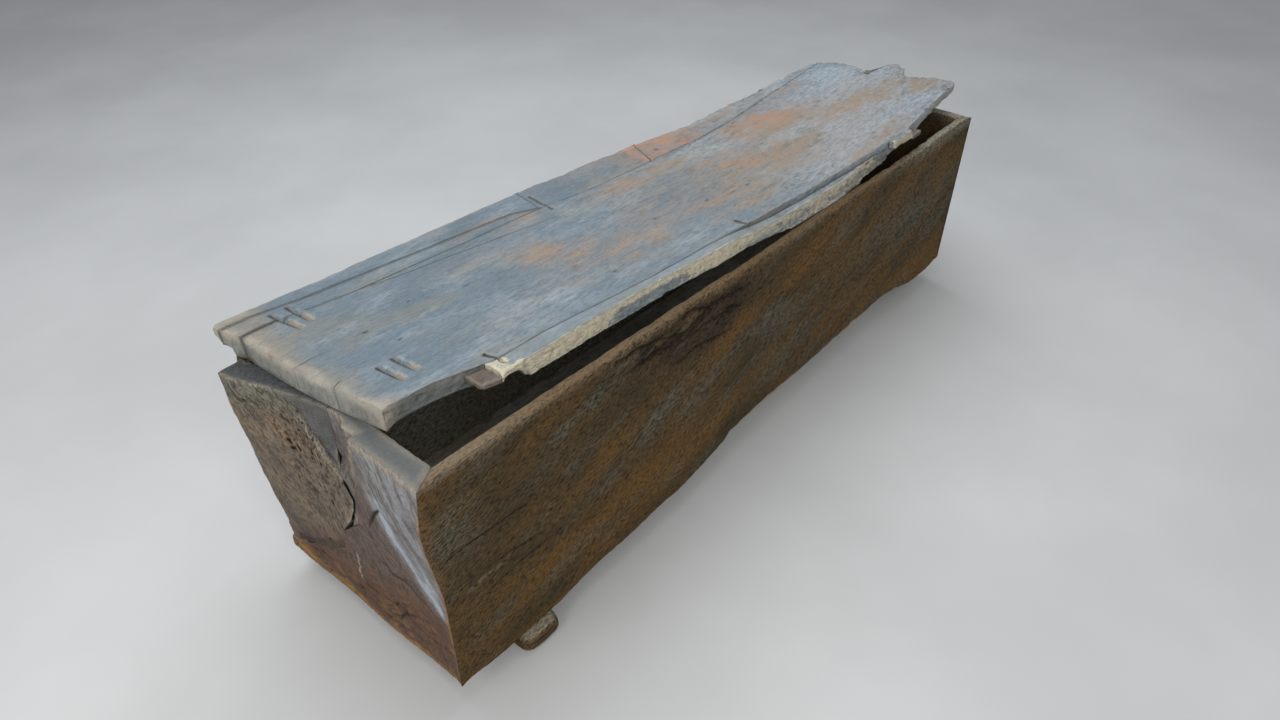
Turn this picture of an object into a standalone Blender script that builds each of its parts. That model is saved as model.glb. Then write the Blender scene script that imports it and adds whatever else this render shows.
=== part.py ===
"""Rectangular coffin of ancient planks: a mitred box on two battens, under a warped and broken lid.

Metres, +Z up. X runs from the foot end to the head end, Y from the front side to the back side.
The coffin is drawn from its front corner at the foot end, on the ground, and then set with the
middle of its outline on the origin. Every piece is a board: a box cut into a grid of cells, whose
corners a function then puts in place.
"""

import math

import bmesh
import bpy
from mathutils import Vector

# Overall sizes of the box
BOX_LENGTH = 1.800
BOX_WIDTH = 0.500
FOOT_RIM_HEIGHT = 0.532
HEAD_RIM_HEIGHT = 0.496

# Walls, floor and battens
SIDE_THICKNESS = 0.025
FOOT_END_THICKNESS = 0.048
HEAD_END_THICKNESS = 0.040
FLOOR_THICKNESS = 0.032
FLOOR_PLANK_NAMES = ("front", "middle", "back")
BATTEN_THICKNESS = 0.042
BATTEN_BREADTH = 0.085
BATTEN_INSET = 0.143
BATTEN_REACH = 0.018
HEAD_BATTEN_SHORTFALL = 0.130

# How far the end walls lean toward the head end, over their height
FOOT_LEAN = 0.009
HEAD_LEAN = 0.019

# Lid
LID_THICKNESS = 0.046
LID_RAISED_CORNER = 0.028
LID_THIN_CORNER = 0.018
STRIP_THICKNESS = 0.033
STRIP_TONGUE = 0.016
TENON_THICKNESS = 0.012
SLOT_BREADTH = 0.009
SLOT_DEPTH = 0.012
CRACK_BREADTH = 0.005
CRACK_DEPTH = 0.008
GROOVE_FLOOR_SHARE = 0.15

# Cells along the long boards
SIDE_CELLS = 36

# Clearances and edges
GAP = 0.0003
EDGE_WEAR = 0.004
SQUARE_ANGLES = (60.0, 105.0)
BATTEN_WEAR = 0.007
CUTTER_REACH = 0.060
CUTTER_TOP = 1.1
CUTTER_RISE = 3.0

# Wear of the front side board: its lower edge is worn up, bows inward and its upper part stands out
FRONT_BOW = 0.012
FRONT_FLARE = 0.005
FRONT_BOW_SHARES = ((0.33, 0.0), (0.47, 1.0), (0.84, 1.0), (0.93, 0.0))
FRONT_LOWER_EDGE = (
    (0.00, 0.009), (0.07, 0.000), (0.14, 0.000), (0.21, 0.012), (0.31, 0.015),
    (0.47, 0.029), (0.85, 0.032), (0.945, 0.015), (0.98, 0.015), (1.00, 0.028),
)
HEAD_WEAR_REACH = 0.125
# Warp of the foot end at the front corner: set back low down and out near the rim, by share of height
FOOT_CORNER_WARP = ((0.00, 0.008), (0.45, 0.010), (0.82, -0.007), (1.00, 0.002))
FOOT_WARP_REACH = 0.195
# Swelling of the foot end's face at its low back corner, by share of width and of height
FOOT_SWELLING = 0.009
FOOT_SWELLING_START = 0.600
FOOT_SWELLING_HEIGHT = 0.250

# Slab of the foot end, by share of height: its right edge on the face and the line where it meets
# the end board behind the face, as shares of the width from the front, and how far its left edge
# stands in from the back
SLAB_LEVELS = (0.087, 0.112, 0.167, 0.232, 0.340, 0.455, 0.567, 0.628, 0.690, 0.751, 0.824, 0.910)
SLAB_FACE_EDGE = (
    (0.087, 0.932), (0.112, 0.924), (0.167, 0.814), (0.232, 0.690), (0.340, 0.558), (0.455, 0.524),
    (0.567, 0.444), (0.628, 0.410), (0.690, 0.392), (0.751, 0.424), (0.824, 0.534), (0.910, 0.612),
    (1.000, 0.678),
)
SLAB_SPLIT = (
    (0.087, 0.932), (0.112, 0.924), (0.167, 0.814), (0.232, 0.690), (0.340, 0.558), (0.455, 0.524),
    (0.567, 0.500), (1.000, 0.494),
)
SLAB_LEFT_EDGE = ((0.087, 0.002), (0.424, 0.002), (0.730, 0.018), (1.000, 0.031))
SLAB_FLARE = 0.046
SLAB_FLARE_START = 0.118
SLAB_FLARE_MARGIN = 0.030
# Recess beside the slab, where the outer layer of the end board has split away
RECESS_DEPTH = 0.022
RECESS_EDGE = ((0.451, 0.524), (0.567, 0.406), (0.712, 0.370), (0.808, 0.360), (1.000, 0.330))

# Joints and edges of the lid: share of the box's length from the foot end, share of its width from
# the front
LID_FRONT_EDGE = (
    (0.0322, 0.262), (0.0889, 0.240), (0.1372, 0.188), (0.1906, 0.188), (0.3289, 0.140), (0.4889, 0.110),
    (0.5811, 0.088), (0.7617, 0.076), (0.8278, 0.058), (0.8833, 0.076), (0.9444, 0.100), (1.0256, 0.132),
)
LID_STRIP_EDGE = (
    (0.1306, 0.104), (0.2444, 0.096), (0.3556, 0.078), (0.4167, 0.056), (0.5278, 0.042), (0.6278, 0.030),
    (0.6778, 0.032), (0.784, 0.062),
)
LID_WEDGE_JOINT = ((0.0094, 0.904), (0.0333, 0.908), (0.1172, 0.862), (0.2611, 0.836), (0.3611, 0.826))
LID_BACK_JOINT = (
    (0.0017, 0.994), (0.0333, 0.990), (0.0800, 0.960), (0.2889, 0.890), (0.3294, 0.876), (0.3611, 0.826),
    (0.4311, 0.788), (0.6372, 0.774), (0.7111, 0.788), (0.8000, 0.830), (1.0000, 0.914),
)
LID_BACK_EDGE = (
    (0.0000, 1.048), (0.1139, 1.028), (0.3611, 1.006), (0.4256, 1.002), (0.5072, 0.982), (0.5944, 0.960),
    (0.6611, 0.924), (0.8222, 0.944), (0.9972, 0.962),
)
# Shape of the main plank's broken head end: share of the plank's width, share of the box's length
LID_HEAD_END = (
    (0.000, 1.0256), (0.082, 1.0372), (0.203, 1.0261), (0.326, 1.0144), (0.374, 1.0194), (0.438, 1.0533),
    (0.523, 1.0650), (0.582, 1.0583), (0.600, 0.9944), (0.713, 1.0150), (0.892, 1.0211), (1.000, 1.0072),
)
LID_CELL = BOX_LENGTH / SIDE_CELLS
LID_SHORTEST_CELL = 0.010
LID_FOOT_END_SAG = 0.008
# Stretches of the lid, by share of the box's length: where its front edge rises, where the front
# strip drops to the rim, and how far the foot end of the back strip is worn below
LID_RISE = ((0.6944, 0.000), (1.0000, 1.000))
STRIP_DROP = ((0.4333, 0.000), (0.5222, 1.000))
BACK_STRIP_WEAR = ((0.0000, 0.020), (0.0667, 0.000))

# Ends of the lid's pieces at their front and back, from the foot end's plane
WEDGE_START = (0.017, 0.003)
BACK_STRIP_START = (0.003, 0.000)
# Ends of the lid's pieces, as shares of the box's length
WEDGE_END = 0.3572
BACK_CRACKS = ((0.3611, 0.3694), (0.5417, 0.5650))
BACK_STRIP_NAMES = ("foot", "middle", "head")
BACK_STRIP_END = 0.9972
FRONT_STRIP_START = 0.1267
FRONT_STRIP_END = 0.784
STUB_END = 0.8317

# Front strip, stub and tenons
STRIP_FACE_INSET = 0.009
TONGUE_LENGTH = 0.040
TONGUE_STEP = 0.004
STUB_BREADTH = 0.018
STUB_THICKNESS = 0.024
STUB_RISE = 0.003
TENON_LENGTH = 0.034
TENON_BREADTH = 0.040
TENON_DROP = 0.008
HEAD_TENON_LENGTH = 0.046
HEAD_TENON_BREADTH = 0.016
HEAD_TENON_RISE = 0.012

# Start and end of each lashing slot and crack of the lid: share of the box's length, share of its
# width
LASHING_SLOTS = (
    ((0.0478, 0.944), (0.0550, 0.798)),
    ((0.0650, 0.946), (0.0678, 0.814)),
    ((0.0650, 0.432), (0.0694, 0.322)),
    ((0.0811, 0.436), (0.0856, 0.330)),
)
CROSS_CRACKS = (
    ((0.3733, 0.940), (0.3689, 0.782)),
    ((0.1356, 0.240), (0.1433, 0.146)),
    ((0.4817, 0.164), (0.4861, 0.070)),
)

FLOOR_LEVEL = BATTEN_THICKNESS + GAP


def ease(share):
    """Smooth step from 0 to 1."""
    share = min(1.0, max(0.0, share))
    return share * share * (3.0 - 2.0 * share)


def mix(first, second, share):
    return first + (second - first) * share


def along(points, place):
    """Straight lines through a few (place, value) points, level beyond the last ones."""
    if place <= points[0][0]:
        return points[0][1]
    for (start, low), (end, high) in zip(points, points[1:]):
        if place <= end:
            return mix(low, high, (place - start) / (end - start))
    return points[-1][1]


def smooth_along(points, place):
    """Like along, with each stretch eased into the next."""
    if place <= points[0][0]:
        return points[0][1]
    for (start, low), (end, high) in zip(points, points[1:]):
        if place <= end:
            return mix(low, high, ease((place - start) / (end - start)))
    return points[-1][1]


def rim_height(x):
    """Height of the box's rim, which falls a little toward the head end."""
    return mix(FOOT_RIM_HEIGHT, HEAD_RIM_HEIGHT, x / BOX_LENGTH)


def front_lower_edge(x):
    return FLOOR_LEVEL + smooth_along(FRONT_LOWER_EDGE, x / BOX_LENGTH)


def front_offset(x, share):
    """How far the front side board stands inward of its plane: bowed in below, flared out above."""
    return smooth_along(FRONT_BOW_SHARES, x / BOX_LENGTH) * (FRONT_BOW * (1.0 - share) - FRONT_FLARE * share)


def foot_plane(y, share):
    """X of the foot end's outer side at a share of its height, leaning and warped near the front corner."""
    warp = smooth_along(FOOT_CORNER_WARP, share) * (1.0 - ease((y - SIDE_THICKNESS) / FOOT_WARP_REACH))
    return FOOT_LEAN * share + warp


def foot_face(y, share):
    """X of the foot end's outer face, swollen at the low back corner."""
    swelling = ease((y / BOX_WIDTH - FOOT_SWELLING_START) / (1.0 - FOOT_SWELLING_START))
    return foot_plane(y, share) - FOOT_SWELLING * swelling * (1.0 - ease(share / FOOT_SWELLING_HEIGHT))


def foot_inner(y, share):
    """X of the foot end's inner face."""
    return foot_plane(y, share) + FOOT_END_THICKNESS


def head_face(share):
    """X of the head end's outer face."""
    return BOX_LENGTH + HEAD_LEAN * share


def head_inner(share):
    return head_face(share) - HEAD_END_THICKNESS


def foot_level(share):
    """Height above the ground of a share of the foot end's height."""
    return mix(FLOOR_LEVEL, FOOT_RIM_HEIGHT, share)


def material(name, colour, roughness):
    """Matt weathered wood of one colour."""
    wood = bpy.data.materials.new(name)
    wood.use_nodes = True
    shader = wood.node_tree.nodes["Principled BSDF"]
    shader.inputs["Base Color"].default_value = (*colour, 1.0)
    shader.inputs["Roughness"].default_value = roughness
    shader.inputs["Metallic"].default_value = 0.0
    return wood


def grid_box(name, cells, place):
    """A mesh box cut into cells along its three directions; place(i, j, k) gives each corner's spot."""
    grid = bmesh.new()
    bmesh.ops.create_cube(grid, size=1.0)
    bmesh.ops.translate(grid, verts=grid.verts, vec=Vector((0.5, 0.5, 0.5)))
    bmesh.ops.scale(grid, verts=grid.verts, vec=Vector(cells))
    for axis in range(3):
        direction = Vector((0.0, 0.0, 0.0))
        direction[axis] = 1.0
        for step in range(1, cells[axis]):
            everything = grid.verts[:] + grid.edges[:] + grid.faces[:]
            bmesh.ops.bisect_plane(grid, geom=everything, plane_co=direction * step, plane_no=direction)
    for vertex in grid.verts:
        i, j, k = (round(value) for value in vertex.co)
        vertex.co = place(i, j, k)
    grid.normal_update()
    bmesh.ops.recalc_face_normals(grid, faces=grid.faces)
    weights = grid.edges.layers.float.new("bevel_weight_edge")
    for edge in grid.edges:
        if SQUARE_ANGLES[0] < math.degrees(edge.calc_face_angle(0.0)) < SQUARE_ANGLES[1]:
            edge[weights] = 1.0
    mesh = bpy.data.meshes.new(name)
    grid.to_mesh(mesh)
    grid.free()
    return mesh


def add_board(name, cells, place, wood, collection, wear=EDGE_WEAR):
    """A board as an object with worn square edges."""
    board = bpy.data.objects.new(name, grid_box(name, cells, place))
    board.data.materials.append(wood)
    collection.objects.link(board)
    if wear > 0.0:
        bevel = board.modifiers.new("worn edges", "BEVEL")
        bevel.width = wear
        bevel.segments = 1
        bevel.limit_method = "WEIGHT"
    return board


def add_cutter(name, cells, place, collection):
    """A closed shape that other pieces are cut with."""
    cutter = bpy.data.objects.new(name, grid_box(name, cells, place))
    cutter.display_type = "WIRE"
    cutter.hide_render = True
    collection.objects.link(cutter)
    return cutter


def cut(board, cutter):
    boolean = board.modifiers.new(cutter.name, "BOOLEAN")
    boolean.operation = "DIFFERENCE"
    boolean.solver = "EXACT"
    boolean.object = cutter


def side_x(y, inward, share, length_share):
    """X of a point of a side board, whose ends are mitred: inward is 0 outside and 1 inside."""
    start = foot_plane(y, share) + FOOT_END_THICKNESS * inward + GAP
    end = mix(head_face(share), head_inner(share), inward) - GAP
    return mix(start, end, length_share)


def make_front_side(wood, parts):
    cells = (SIDE_CELLS, 1, 12)

    def place(i, j, k):
        share = k / cells[2]
        x = side_x(0.0, j, share, i / cells[0])
        z = mix(front_lower_edge(x), rim_height(x), share)
        return Vector((x, SIDE_THICKNESS * j + front_offset(x, share), z))

    return add_board("front_side_board", cells, place, wood, parts)


def make_back_side(wood, parts):
    cells = (SIDE_CELLS // 2, 1, 4)

    def place(i, j, k):
        inward = 1 - j
        share = k / cells[2]
        x = side_x(BOX_WIDTH, inward, share, i / cells[0])
        return Vector((x, BOX_WIDTH - SIDE_THICKNESS * inward, mix(FLOOR_LEVEL, rim_height(x), share)))

    return add_board("back_side_board", cells, place, wood, parts)


def across_end(inward, width_share):
    """Y of a point of an end board, whose ends are mitred: inward is 0 outside and 1 inside."""
    inset = SIDE_THICKNESS * inward + GAP
    return mix(inset, BOX_WIDTH - inset, width_share)


def make_foot_end(wood, parts, cutters):
    cells = (1, 12, 12)

    def place(i, j, k):
        share = k / cells[2]
        y = across_end(i, j / cells[1])
        x = mix(foot_face(y, share), foot_inner(y, share), i)
        return Vector((x, y, mix(front_lower_edge(0.0), rim_height(x), share)))

    board = add_board("foot_end_board", cells, place, wood, parts)
    levels = SLAB_LEVELS + (1.0, CUTTER_TOP)

    def slab_room(i, j, k):
        y = BOX_WIDTH * along(SLAB_SPLIT, levels[k]) - 2.0 * GAP
        return Vector((mix(-CUTTER_REACH, FOOT_END_THICKNESS + CUTTER_REACH, i),
                       mix(y, BOX_WIDTH + CUTTER_REACH, j), foot_level(levels[k]) - 2.0 * GAP))

    cut(board, add_cutter("slab_room", (1, 1, len(levels) - 1), slab_room, cutters))
    recess_levels = [level for level, _ in RECESS_EDGE] + [CUTTER_TOP]

    def recess(i, j, k):
        share = recess_levels[k]
        near = BOX_WIDTH * along(RECESS_EDGE, share)
        far = near + GAP if k == 0 else BOX_WIDTH * along(SLAB_SPLIT, share) + RECESS_DEPTH
        depth = FOOT_LEAN * share + RECESS_DEPTH + GAP
        return Vector((mix(-CUTTER_REACH, depth, i), mix(near, far, j), foot_level(share)))

    cut(board, add_cutter("recess", (1, 1, len(recess_levels) - 1), recess, cutters))
    return board


def make_foot_slab(wood, parts):
    """Board with a broken right edge: its face layer runs past the line where the board behind ends."""
    levels = SLAB_LEVELS + (1.0,)
    cells = (2, 6, len(levels) - 1)
    flare_edge = BOX_WIDTH * along(SLAB_FACE_EDGE, 1.0)

    def place(i, j, k):
        share = levels[k]
        right = BOX_WIDTH * along(SLAB_FACE_EDGE if i == 0 else SLAB_SPLIT, share)
        left_inset = max(smooth_along(SLAB_LEFT_EDGE, share), SIDE_THICKNESS * i / cells[0] + 3.0 * GAP)
        y = mix(right, BOX_WIDTH - left_inset, j / cells[1])
        flare_share = max(0.0, (share - SLAB_FLARE_START) / (1.0 - SLAB_FLARE_START))
        flare_share *= ease((y - flare_edge + SLAB_FLARE_MARGIN) / (BOX_WIDTH - flare_edge))
        depth = (0.0, RECESS_DEPTH, FOOT_END_THICKNESS)[i]
        x = FOOT_LEAN * share + depth - SLAB_FLARE * flare_share
        z = rim_height(max(x, 0.0)) if k == cells[2] else foot_level(share)
        return Vector((x, y, z))

    return add_board("foot_end_slab", cells, place, wood, parts, wear=0.0)


def make_head_end(wood, parts):
    cells = (1, 6, 6)

    def place(i, j, k):
        inward = 1 - i
        share = k / cells[2]
        y = across_end(inward, j / cells[1])
        x = mix(head_face(share), head_inner(share), inward)
        lower = mix(front_lower_edge(BOX_LENGTH), FLOOR_LEVEL, ease(y / HEAD_WEAR_REACH))
        return Vector((x, y, mix(lower, rim_height(x), share)))

    return add_board("head_end_board", cells, place, wood, parts)


def make_floor(wood, parts):
    """Planks side by side between the walls, laid on the battens."""
    count = len(FLOOR_PLANK_NAMES)
    inner_front = SIDE_THICKNESS + GAP
    inner_back = BOX_WIDTH - SIDE_THICKNESS - GAP
    breadth = (inner_back - inner_front) / count
    cells = (SIDE_CELLS, 1, 1)
    top_share = FLOOR_THICKNESS / (FOOT_RIM_HEIGHT - FLOOR_LEVEL)
    end = head_inner(0.0) - GAP
    for number, plank in enumerate(FLOOR_PLANK_NAMES):
        front = inner_front + breadth * number
        start = max(foot_inner(front, 0.0), foot_inner(front, top_share)) + GAP
        bow = 1.0 if number == 0 else 0.0

        def place(i, j, k, front=front, start=start, bow=bow):
            x = mix(start, end, i / cells[0])
            y = front + GAP / 2.0 + (breadth - GAP) * j + bow * front_offset(x, 0.0) * (1 - j)
            return Vector((x, y, FLOOR_LEVEL + FLOOR_THICKNESS * k))

        add_board("floor_plank_" + plank, cells, place, wood, parts, wear=0.0)


def make_batten(name, middle, front_reach, wood, parts):
    cells = (1, 4, 1)

    def place(i, j, k):
        y = mix(-front_reach, BOX_WIDTH + BATTEN_REACH, j / cells[1])
        return Vector((middle + BATTEN_BREADTH * (i - 0.5), y, BATTEN_THICKNESS * k))

    return add_board(name, cells, place, wood, parts, wear=BATTEN_WEAR)


def lid_stations(start, end):
    """Distances along the lid where its grid has corners: both ends and the regular cells between."""
    stations = [start]
    for number in range(1, int(end / LID_CELL) + 1):
        x = number * LID_CELL
        if start + LID_SHORTEST_CELL < x < end - LID_SHORTEST_CELL:
            stations.append(x)
    return stations + [end]


def lid_line(points, x):
    """Y of a joint or edge of the lid, straight within each cell, so that neighbours meet along it."""
    low = math.floor(x / LID_CELL) * LID_CELL
    share = (x - low) / LID_CELL
    near = along(points, low / BOX_LENGTH)
    far = along(points, (low + LID_CELL) / BOX_LENGTH)
    return BOX_WIDTH * mix(near, far, share)


def lid_rise(x, y):
    """Share of the full rise of the lid's front corner at the head end."""
    return smooth_along(LID_RISE, x / BOX_LENGTH) * min(1.0, max(0.0, (BOX_WIDTH - y) / BOX_WIDTH))


def lid_underside(x, y):
    return rim_height(x) + GAP + (LID_RAISED_CORNER + LID_THIN_CORNER) * lid_rise(x, y)


def lid_top(x, y):
    return rim_height(x) + GAP + LID_THICKNESS + LID_RAISED_CORNER * lid_rise(x, y)


def make_main_plank(wood, parts, cutters):
    foot_front = BOX_LENGTH * LID_FRONT_EDGE[0][0]
    foot_back = WEDGE_START[0]
    stations = lid_stations(foot_front + LID_CELL / 2.0, BOX_LENGTH)
    rows = [share for share, _ in LID_HEAD_END]
    cells = (len(stations), len(rows) - 1, 1)

    def back_line(x):
        if x < BOX_LENGTH * WEDGE_END:
            return lid_line(LID_WEDGE_JOINT, x)
        return lid_line(LID_BACK_JOINT, x)

    def place(i, j, k):
        share = rows[j]
        if i == 0:
            sag = LID_FOOT_END_SAG * math.sin(math.pi * share)
            x = mix(foot_front, foot_back, share) - sag
            y = mix(lid_line(LID_FRONT_EDGE, foot_front), back_line(foot_back) - GAP, share)
        elif i == cells[0]:
            x = BOX_LENGTH * LID_HEAD_END[j][1]
            y = mix(lid_line(LID_FRONT_EDGE, x), back_line(x) - GAP, share)
        else:
            x = stations[i]
            y = mix(lid_line(LID_FRONT_EDGE, x), back_line(x) - GAP, share)
        z = lid_top(x, y) if k == 1 else lid_underside(x, y)
        return Vector((x, y, z))

    board = add_board("lid_main_plank", cells, place, wood, parts)
    for cutter in cutters:
        cut(board, cutter)
    return board


def make_lid_strip(name, start, end, front, back, wood, parts, underside=lid_underside, top=lid_top):
    """A plank of the lid between two lines, from start to end, each given at its front and back."""
    stations = lid_stations(max(start), min(end))
    cells = (len(stations) - 1, 1, 1)

    def place(i, j, k):
        x = stations[i]
        if i == 0:
            x = start[j]
        elif i == cells[0]:
            x = end[j]
        y = back(x) if j == 1 else front(x)
        z = top(x, y) if k == 1 else underside(x, y)
        return Vector((x, y, z))

    return add_board(name, cells, place, wood, parts, wear=EDGE_WEAR / 2.0)


def make_wedge_plank(wood, parts, cutters):
    def front(x):
        return lid_line(LID_WEDGE_JOINT, x) + GAP

    def back(x):
        return lid_line(LID_BACK_JOINT, x) - GAP

    end = BOX_LENGTH * WEDGE_END
    board = make_lid_strip("lid_wedge_plank", WEDGE_START, (end, end), front, back, wood, parts)
    for cutter in cutters:
        cut(board, cutter)
    return board


def make_back_strips(wood, parts, cutter):
    def front(x):
        return lid_line(LID_BACK_JOINT, x) + GAP

    def back(x):
        return lid_line(LID_BACK_EDGE, x)

    def underside(x, y):
        return lid_underside(x, y) + smooth_along(BACK_STRIP_WEAR, x / BOX_LENGTH)

    start = BACK_STRIP_START
    for name, ends in zip(BACK_STRIP_NAMES, BACK_CRACKS + ((BACK_STRIP_END, BACK_STRIP_END),)):
        end = (BOX_LENGTH * ends[0], BOX_LENGTH * ends[1])
        board = make_lid_strip("lid_back_strip_" + name, start, end, front, back, wood, parts, underside)
        if name == "middle":
            cut(board, cutter)
        start = (end[0] + GAP, end[1] + GAP)


def strip_top(x):
    """The front strip lies level with the main plank near the foot and on the rim near the head."""
    drop = (LID_THICKNESS - STRIP_THICKNESS) * smooth_along(STRIP_DROP, x / BOX_LENGTH)
    return rim_height(x) + GAP + LID_THICKNESS - drop


def make_front_strip(wood, parts, cutters):
    start = BOX_LENGTH * FRONT_STRIP_START
    tongue_end = start + TONGUE_LENGTH
    stations = lid_stations(start, BOX_LENGTH * FRONT_STRIP_END)
    stations = sorted(stations + [tongue_end, tongue_end + TONGUE_STEP])
    cells = (len(stations) - 1, 2, 1)

    def place(i, j, k):
        x = stations[i]
        front = lid_line(LID_STRIP_EDGE, x)
        back = lid_line(LID_FRONT_EDGE, x) - GAP
        y = mix(front + STRIP_FACE_INSET * k, back, j / cells[1])
        thickness = STRIP_TONGUE if x <= tongue_end else STRIP_THICKNESS
        return Vector((x, y, strip_top(x) - thickness * (1 - k)))

    board = add_board("lid_front_strip", cells, place, wood, parts, wear=EDGE_WEAR / 2.0)
    for cutter in cutters:
        cut(board, cutter)
    return board


def make_front_stub(wood, parts):
    stations = lid_stations(BOX_LENGTH * FRONT_STRIP_END + 2.0 * GAP, BOX_LENGTH * STUB_END)
    cells = (len(stations) - 1, 1, 1)

    def place(i, j, k):
        x = stations[i]
        back = lid_line(LID_FRONT_EDGE, x) - GAP
        y = back - STUB_BREADTH * (1 - j)
        return Vector((x, y, lid_top(x, back) + STUB_RISE - STUB_THICKNESS * (1 - k)))

    return add_board("lid_front_stub", cells, place, wood, parts, wear=EDGE_WEAR / 2.0)


def make_tenons(wood, parts):
    """Loose tenons that stand out where the front strip is broken."""
    foot_end = BOX_LENGTH * FRONT_STRIP_START - GAP
    stub_end = BOX_LENGTH * STUB_END

    def foot(i, j, k):
        x = foot_end - TENON_LENGTH * (1 - i)
        back = lid_line(LID_FRONT_EDGE, x) - GAP
        top = lid_top(x, back) - TENON_DROP
        return Vector((x, back - TENON_BREADTH * (1 - j), top - TENON_THICKNESS * (1 - k)))

    add_board("lid_tenon_foot", (1, 1, 1), foot, wood, parts, wear=EDGE_WEAR / 2.0)

    def head(i, j, k):
        x = stub_end + GAP + HEAD_TENON_LENGTH * i
        back = lid_line(LID_FRONT_EDGE, stub_end) - 2.0 * GAP
        bottom = lid_underside(stub_end, back) + HEAD_TENON_RISE
        return Vector((x, back - HEAD_TENON_BREADTH * (1 - j), bottom + TENON_THICKNESS * k))

    add_board("lid_tenon_head", (1, 1, 1), head, wood, parts, wear=EDGE_WEAR / 2.0)


def add_groove(name, ends, breadth, depth, cutters):
    """A groove in the lid's upper side between two points: steep toward the foot, sloping beyond."""
    start, end = ends

    def place(i, j, k):
        x = BOX_LENGTH * mix(start[0], end[0], j)
        y = BOX_WIDTH * mix(start[1], end[1], j)
        rise = CUTTER_RISE * k
        far = breadth * mix(GROOVE_FLOOR_SHARE, 1.0, rise)
        return Vector((x + far * i - breadth / 2.0, y, lid_top(x, y) + depth * (rise - 1.0)))

    return add_cutter(name, (1, 1, 1), place, cutters)


def set_on_origin(parts, cutters):
    """Parents everything to one empty, with the middle of the outline on the origin."""
    bpy.context.view_layer.update()
    depsgraph = bpy.context.evaluated_depsgraph_get()
    corners = []
    for board in parts.objects:
        mesh = board.evaluated_get(depsgraph).data
        corners.extend(vertex.co.copy() for vertex in mesh.vertices)
    low = [min(corner[axis] for corner in corners) for axis in range(3)]
    high = [max(corner[axis] for corner in corners) for axis in range(3)]
    anchor = bpy.data.objects.new("coffin_anchor", None)
    anchor.location = (-(low[0] + high[0]) / 2.0, -(low[1] + high[1]) / 2.0, -low[2])
    bpy.context.scene.collection.objects.link(anchor)
    for item in list(parts.objects) + list(cutters.objects):
        item.parent = anchor
    bpy.context.view_layer.update()


def main():
    for item in list(bpy.data.objects):
        bpy.data.objects.remove(item, do_unlink=True)
    parts = bpy.data.collections.new("rectangular_coffin")
    cutters = bpy.data.collections.new("cutters")
    bpy.context.scene.collection.children.link(parts)
    bpy.context.scene.collection.children.link(cutters)

    brown = material("brown side wood", (0.105, 0.066, 0.036), 0.85)
    lilac = material("lilac foot wood", (0.165, 0.128, 0.112), 0.88)
    porous = material("porous slab wood", (0.170, 0.122, 0.080), 0.90)
    hidden = material("plain inner wood", (0.110, 0.082, 0.058), 0.90)
    grey = material("blue grey lid wood", (0.230, 0.250, 0.270), 0.80)
    cream = material("cream strip wood", (0.360, 0.320, 0.230), 0.85)
    pink = material("pink grey tenon wood", (0.240, 0.190, 0.170), 0.85)

    make_front_side(brown, parts)
    make_back_side(brown, parts)
    make_foot_end(lilac, parts, cutters)
    make_foot_slab(porous, parts)
    make_head_end(brown, parts)
    make_floor(hidden, parts)
    foot_middle = BATTEN_INSET + BATTEN_BREADTH / 2.0
    make_batten("foot_batten", foot_middle, BATTEN_REACH, brown, parts)
    make_batten("head_batten", BOX_LENGTH - foot_middle, -HEAD_BATTEN_SHORTFALL, brown, parts)

    slots = []
    for number, ends in enumerate(LASHING_SLOTS, start=1):
        slots.append(add_groove("lashing_slot_%d" % number, ends, SLOT_BREADTH, SLOT_DEPTH, cutters))
    cracks = []
    for number, ends in enumerate(CROSS_CRACKS, start=1):
        cracks.append(add_groove("cross_crack_%d" % number, ends, CRACK_BREADTH, CRACK_DEPTH, cutters))

    make_main_plank(grey, parts, slots + cracks)
    make_wedge_plank(grey, parts, slots[:2])
    make_back_strips(grey, parts, cracks[0])
    make_front_strip(cream, parts, cracks[1:])
    make_front_stub(cream, parts)
    make_tenons(pink, parts)
    set_on_origin(parts, cutters)


main()
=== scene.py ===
"""Looks of the rectangular coffin: worn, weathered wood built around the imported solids."""

import math
from types import SimpleNamespace

import bpy
import numpy as np
from mathutils import Matrix, Vector
from mathutils.bvhtree import BVHTree
from mathutils.kdtree import KDTree


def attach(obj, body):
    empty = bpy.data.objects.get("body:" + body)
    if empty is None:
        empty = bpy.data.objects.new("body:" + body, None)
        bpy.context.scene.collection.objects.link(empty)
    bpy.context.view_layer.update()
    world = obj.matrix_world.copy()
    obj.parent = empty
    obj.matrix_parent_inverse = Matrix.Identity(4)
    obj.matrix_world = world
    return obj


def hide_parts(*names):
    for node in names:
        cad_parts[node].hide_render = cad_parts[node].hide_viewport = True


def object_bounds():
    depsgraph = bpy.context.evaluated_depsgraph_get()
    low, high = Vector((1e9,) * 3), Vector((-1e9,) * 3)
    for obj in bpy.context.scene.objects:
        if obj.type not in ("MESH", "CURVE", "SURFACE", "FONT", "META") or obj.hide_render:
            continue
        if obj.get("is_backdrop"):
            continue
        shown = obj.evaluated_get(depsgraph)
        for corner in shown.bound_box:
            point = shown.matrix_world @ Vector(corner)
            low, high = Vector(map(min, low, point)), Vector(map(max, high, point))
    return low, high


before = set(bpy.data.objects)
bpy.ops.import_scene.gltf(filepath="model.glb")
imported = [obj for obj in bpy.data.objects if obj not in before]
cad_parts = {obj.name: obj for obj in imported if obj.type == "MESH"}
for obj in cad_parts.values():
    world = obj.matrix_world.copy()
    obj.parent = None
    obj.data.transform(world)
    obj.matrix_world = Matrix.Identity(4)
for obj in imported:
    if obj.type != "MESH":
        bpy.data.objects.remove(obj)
cad_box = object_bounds()

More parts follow.
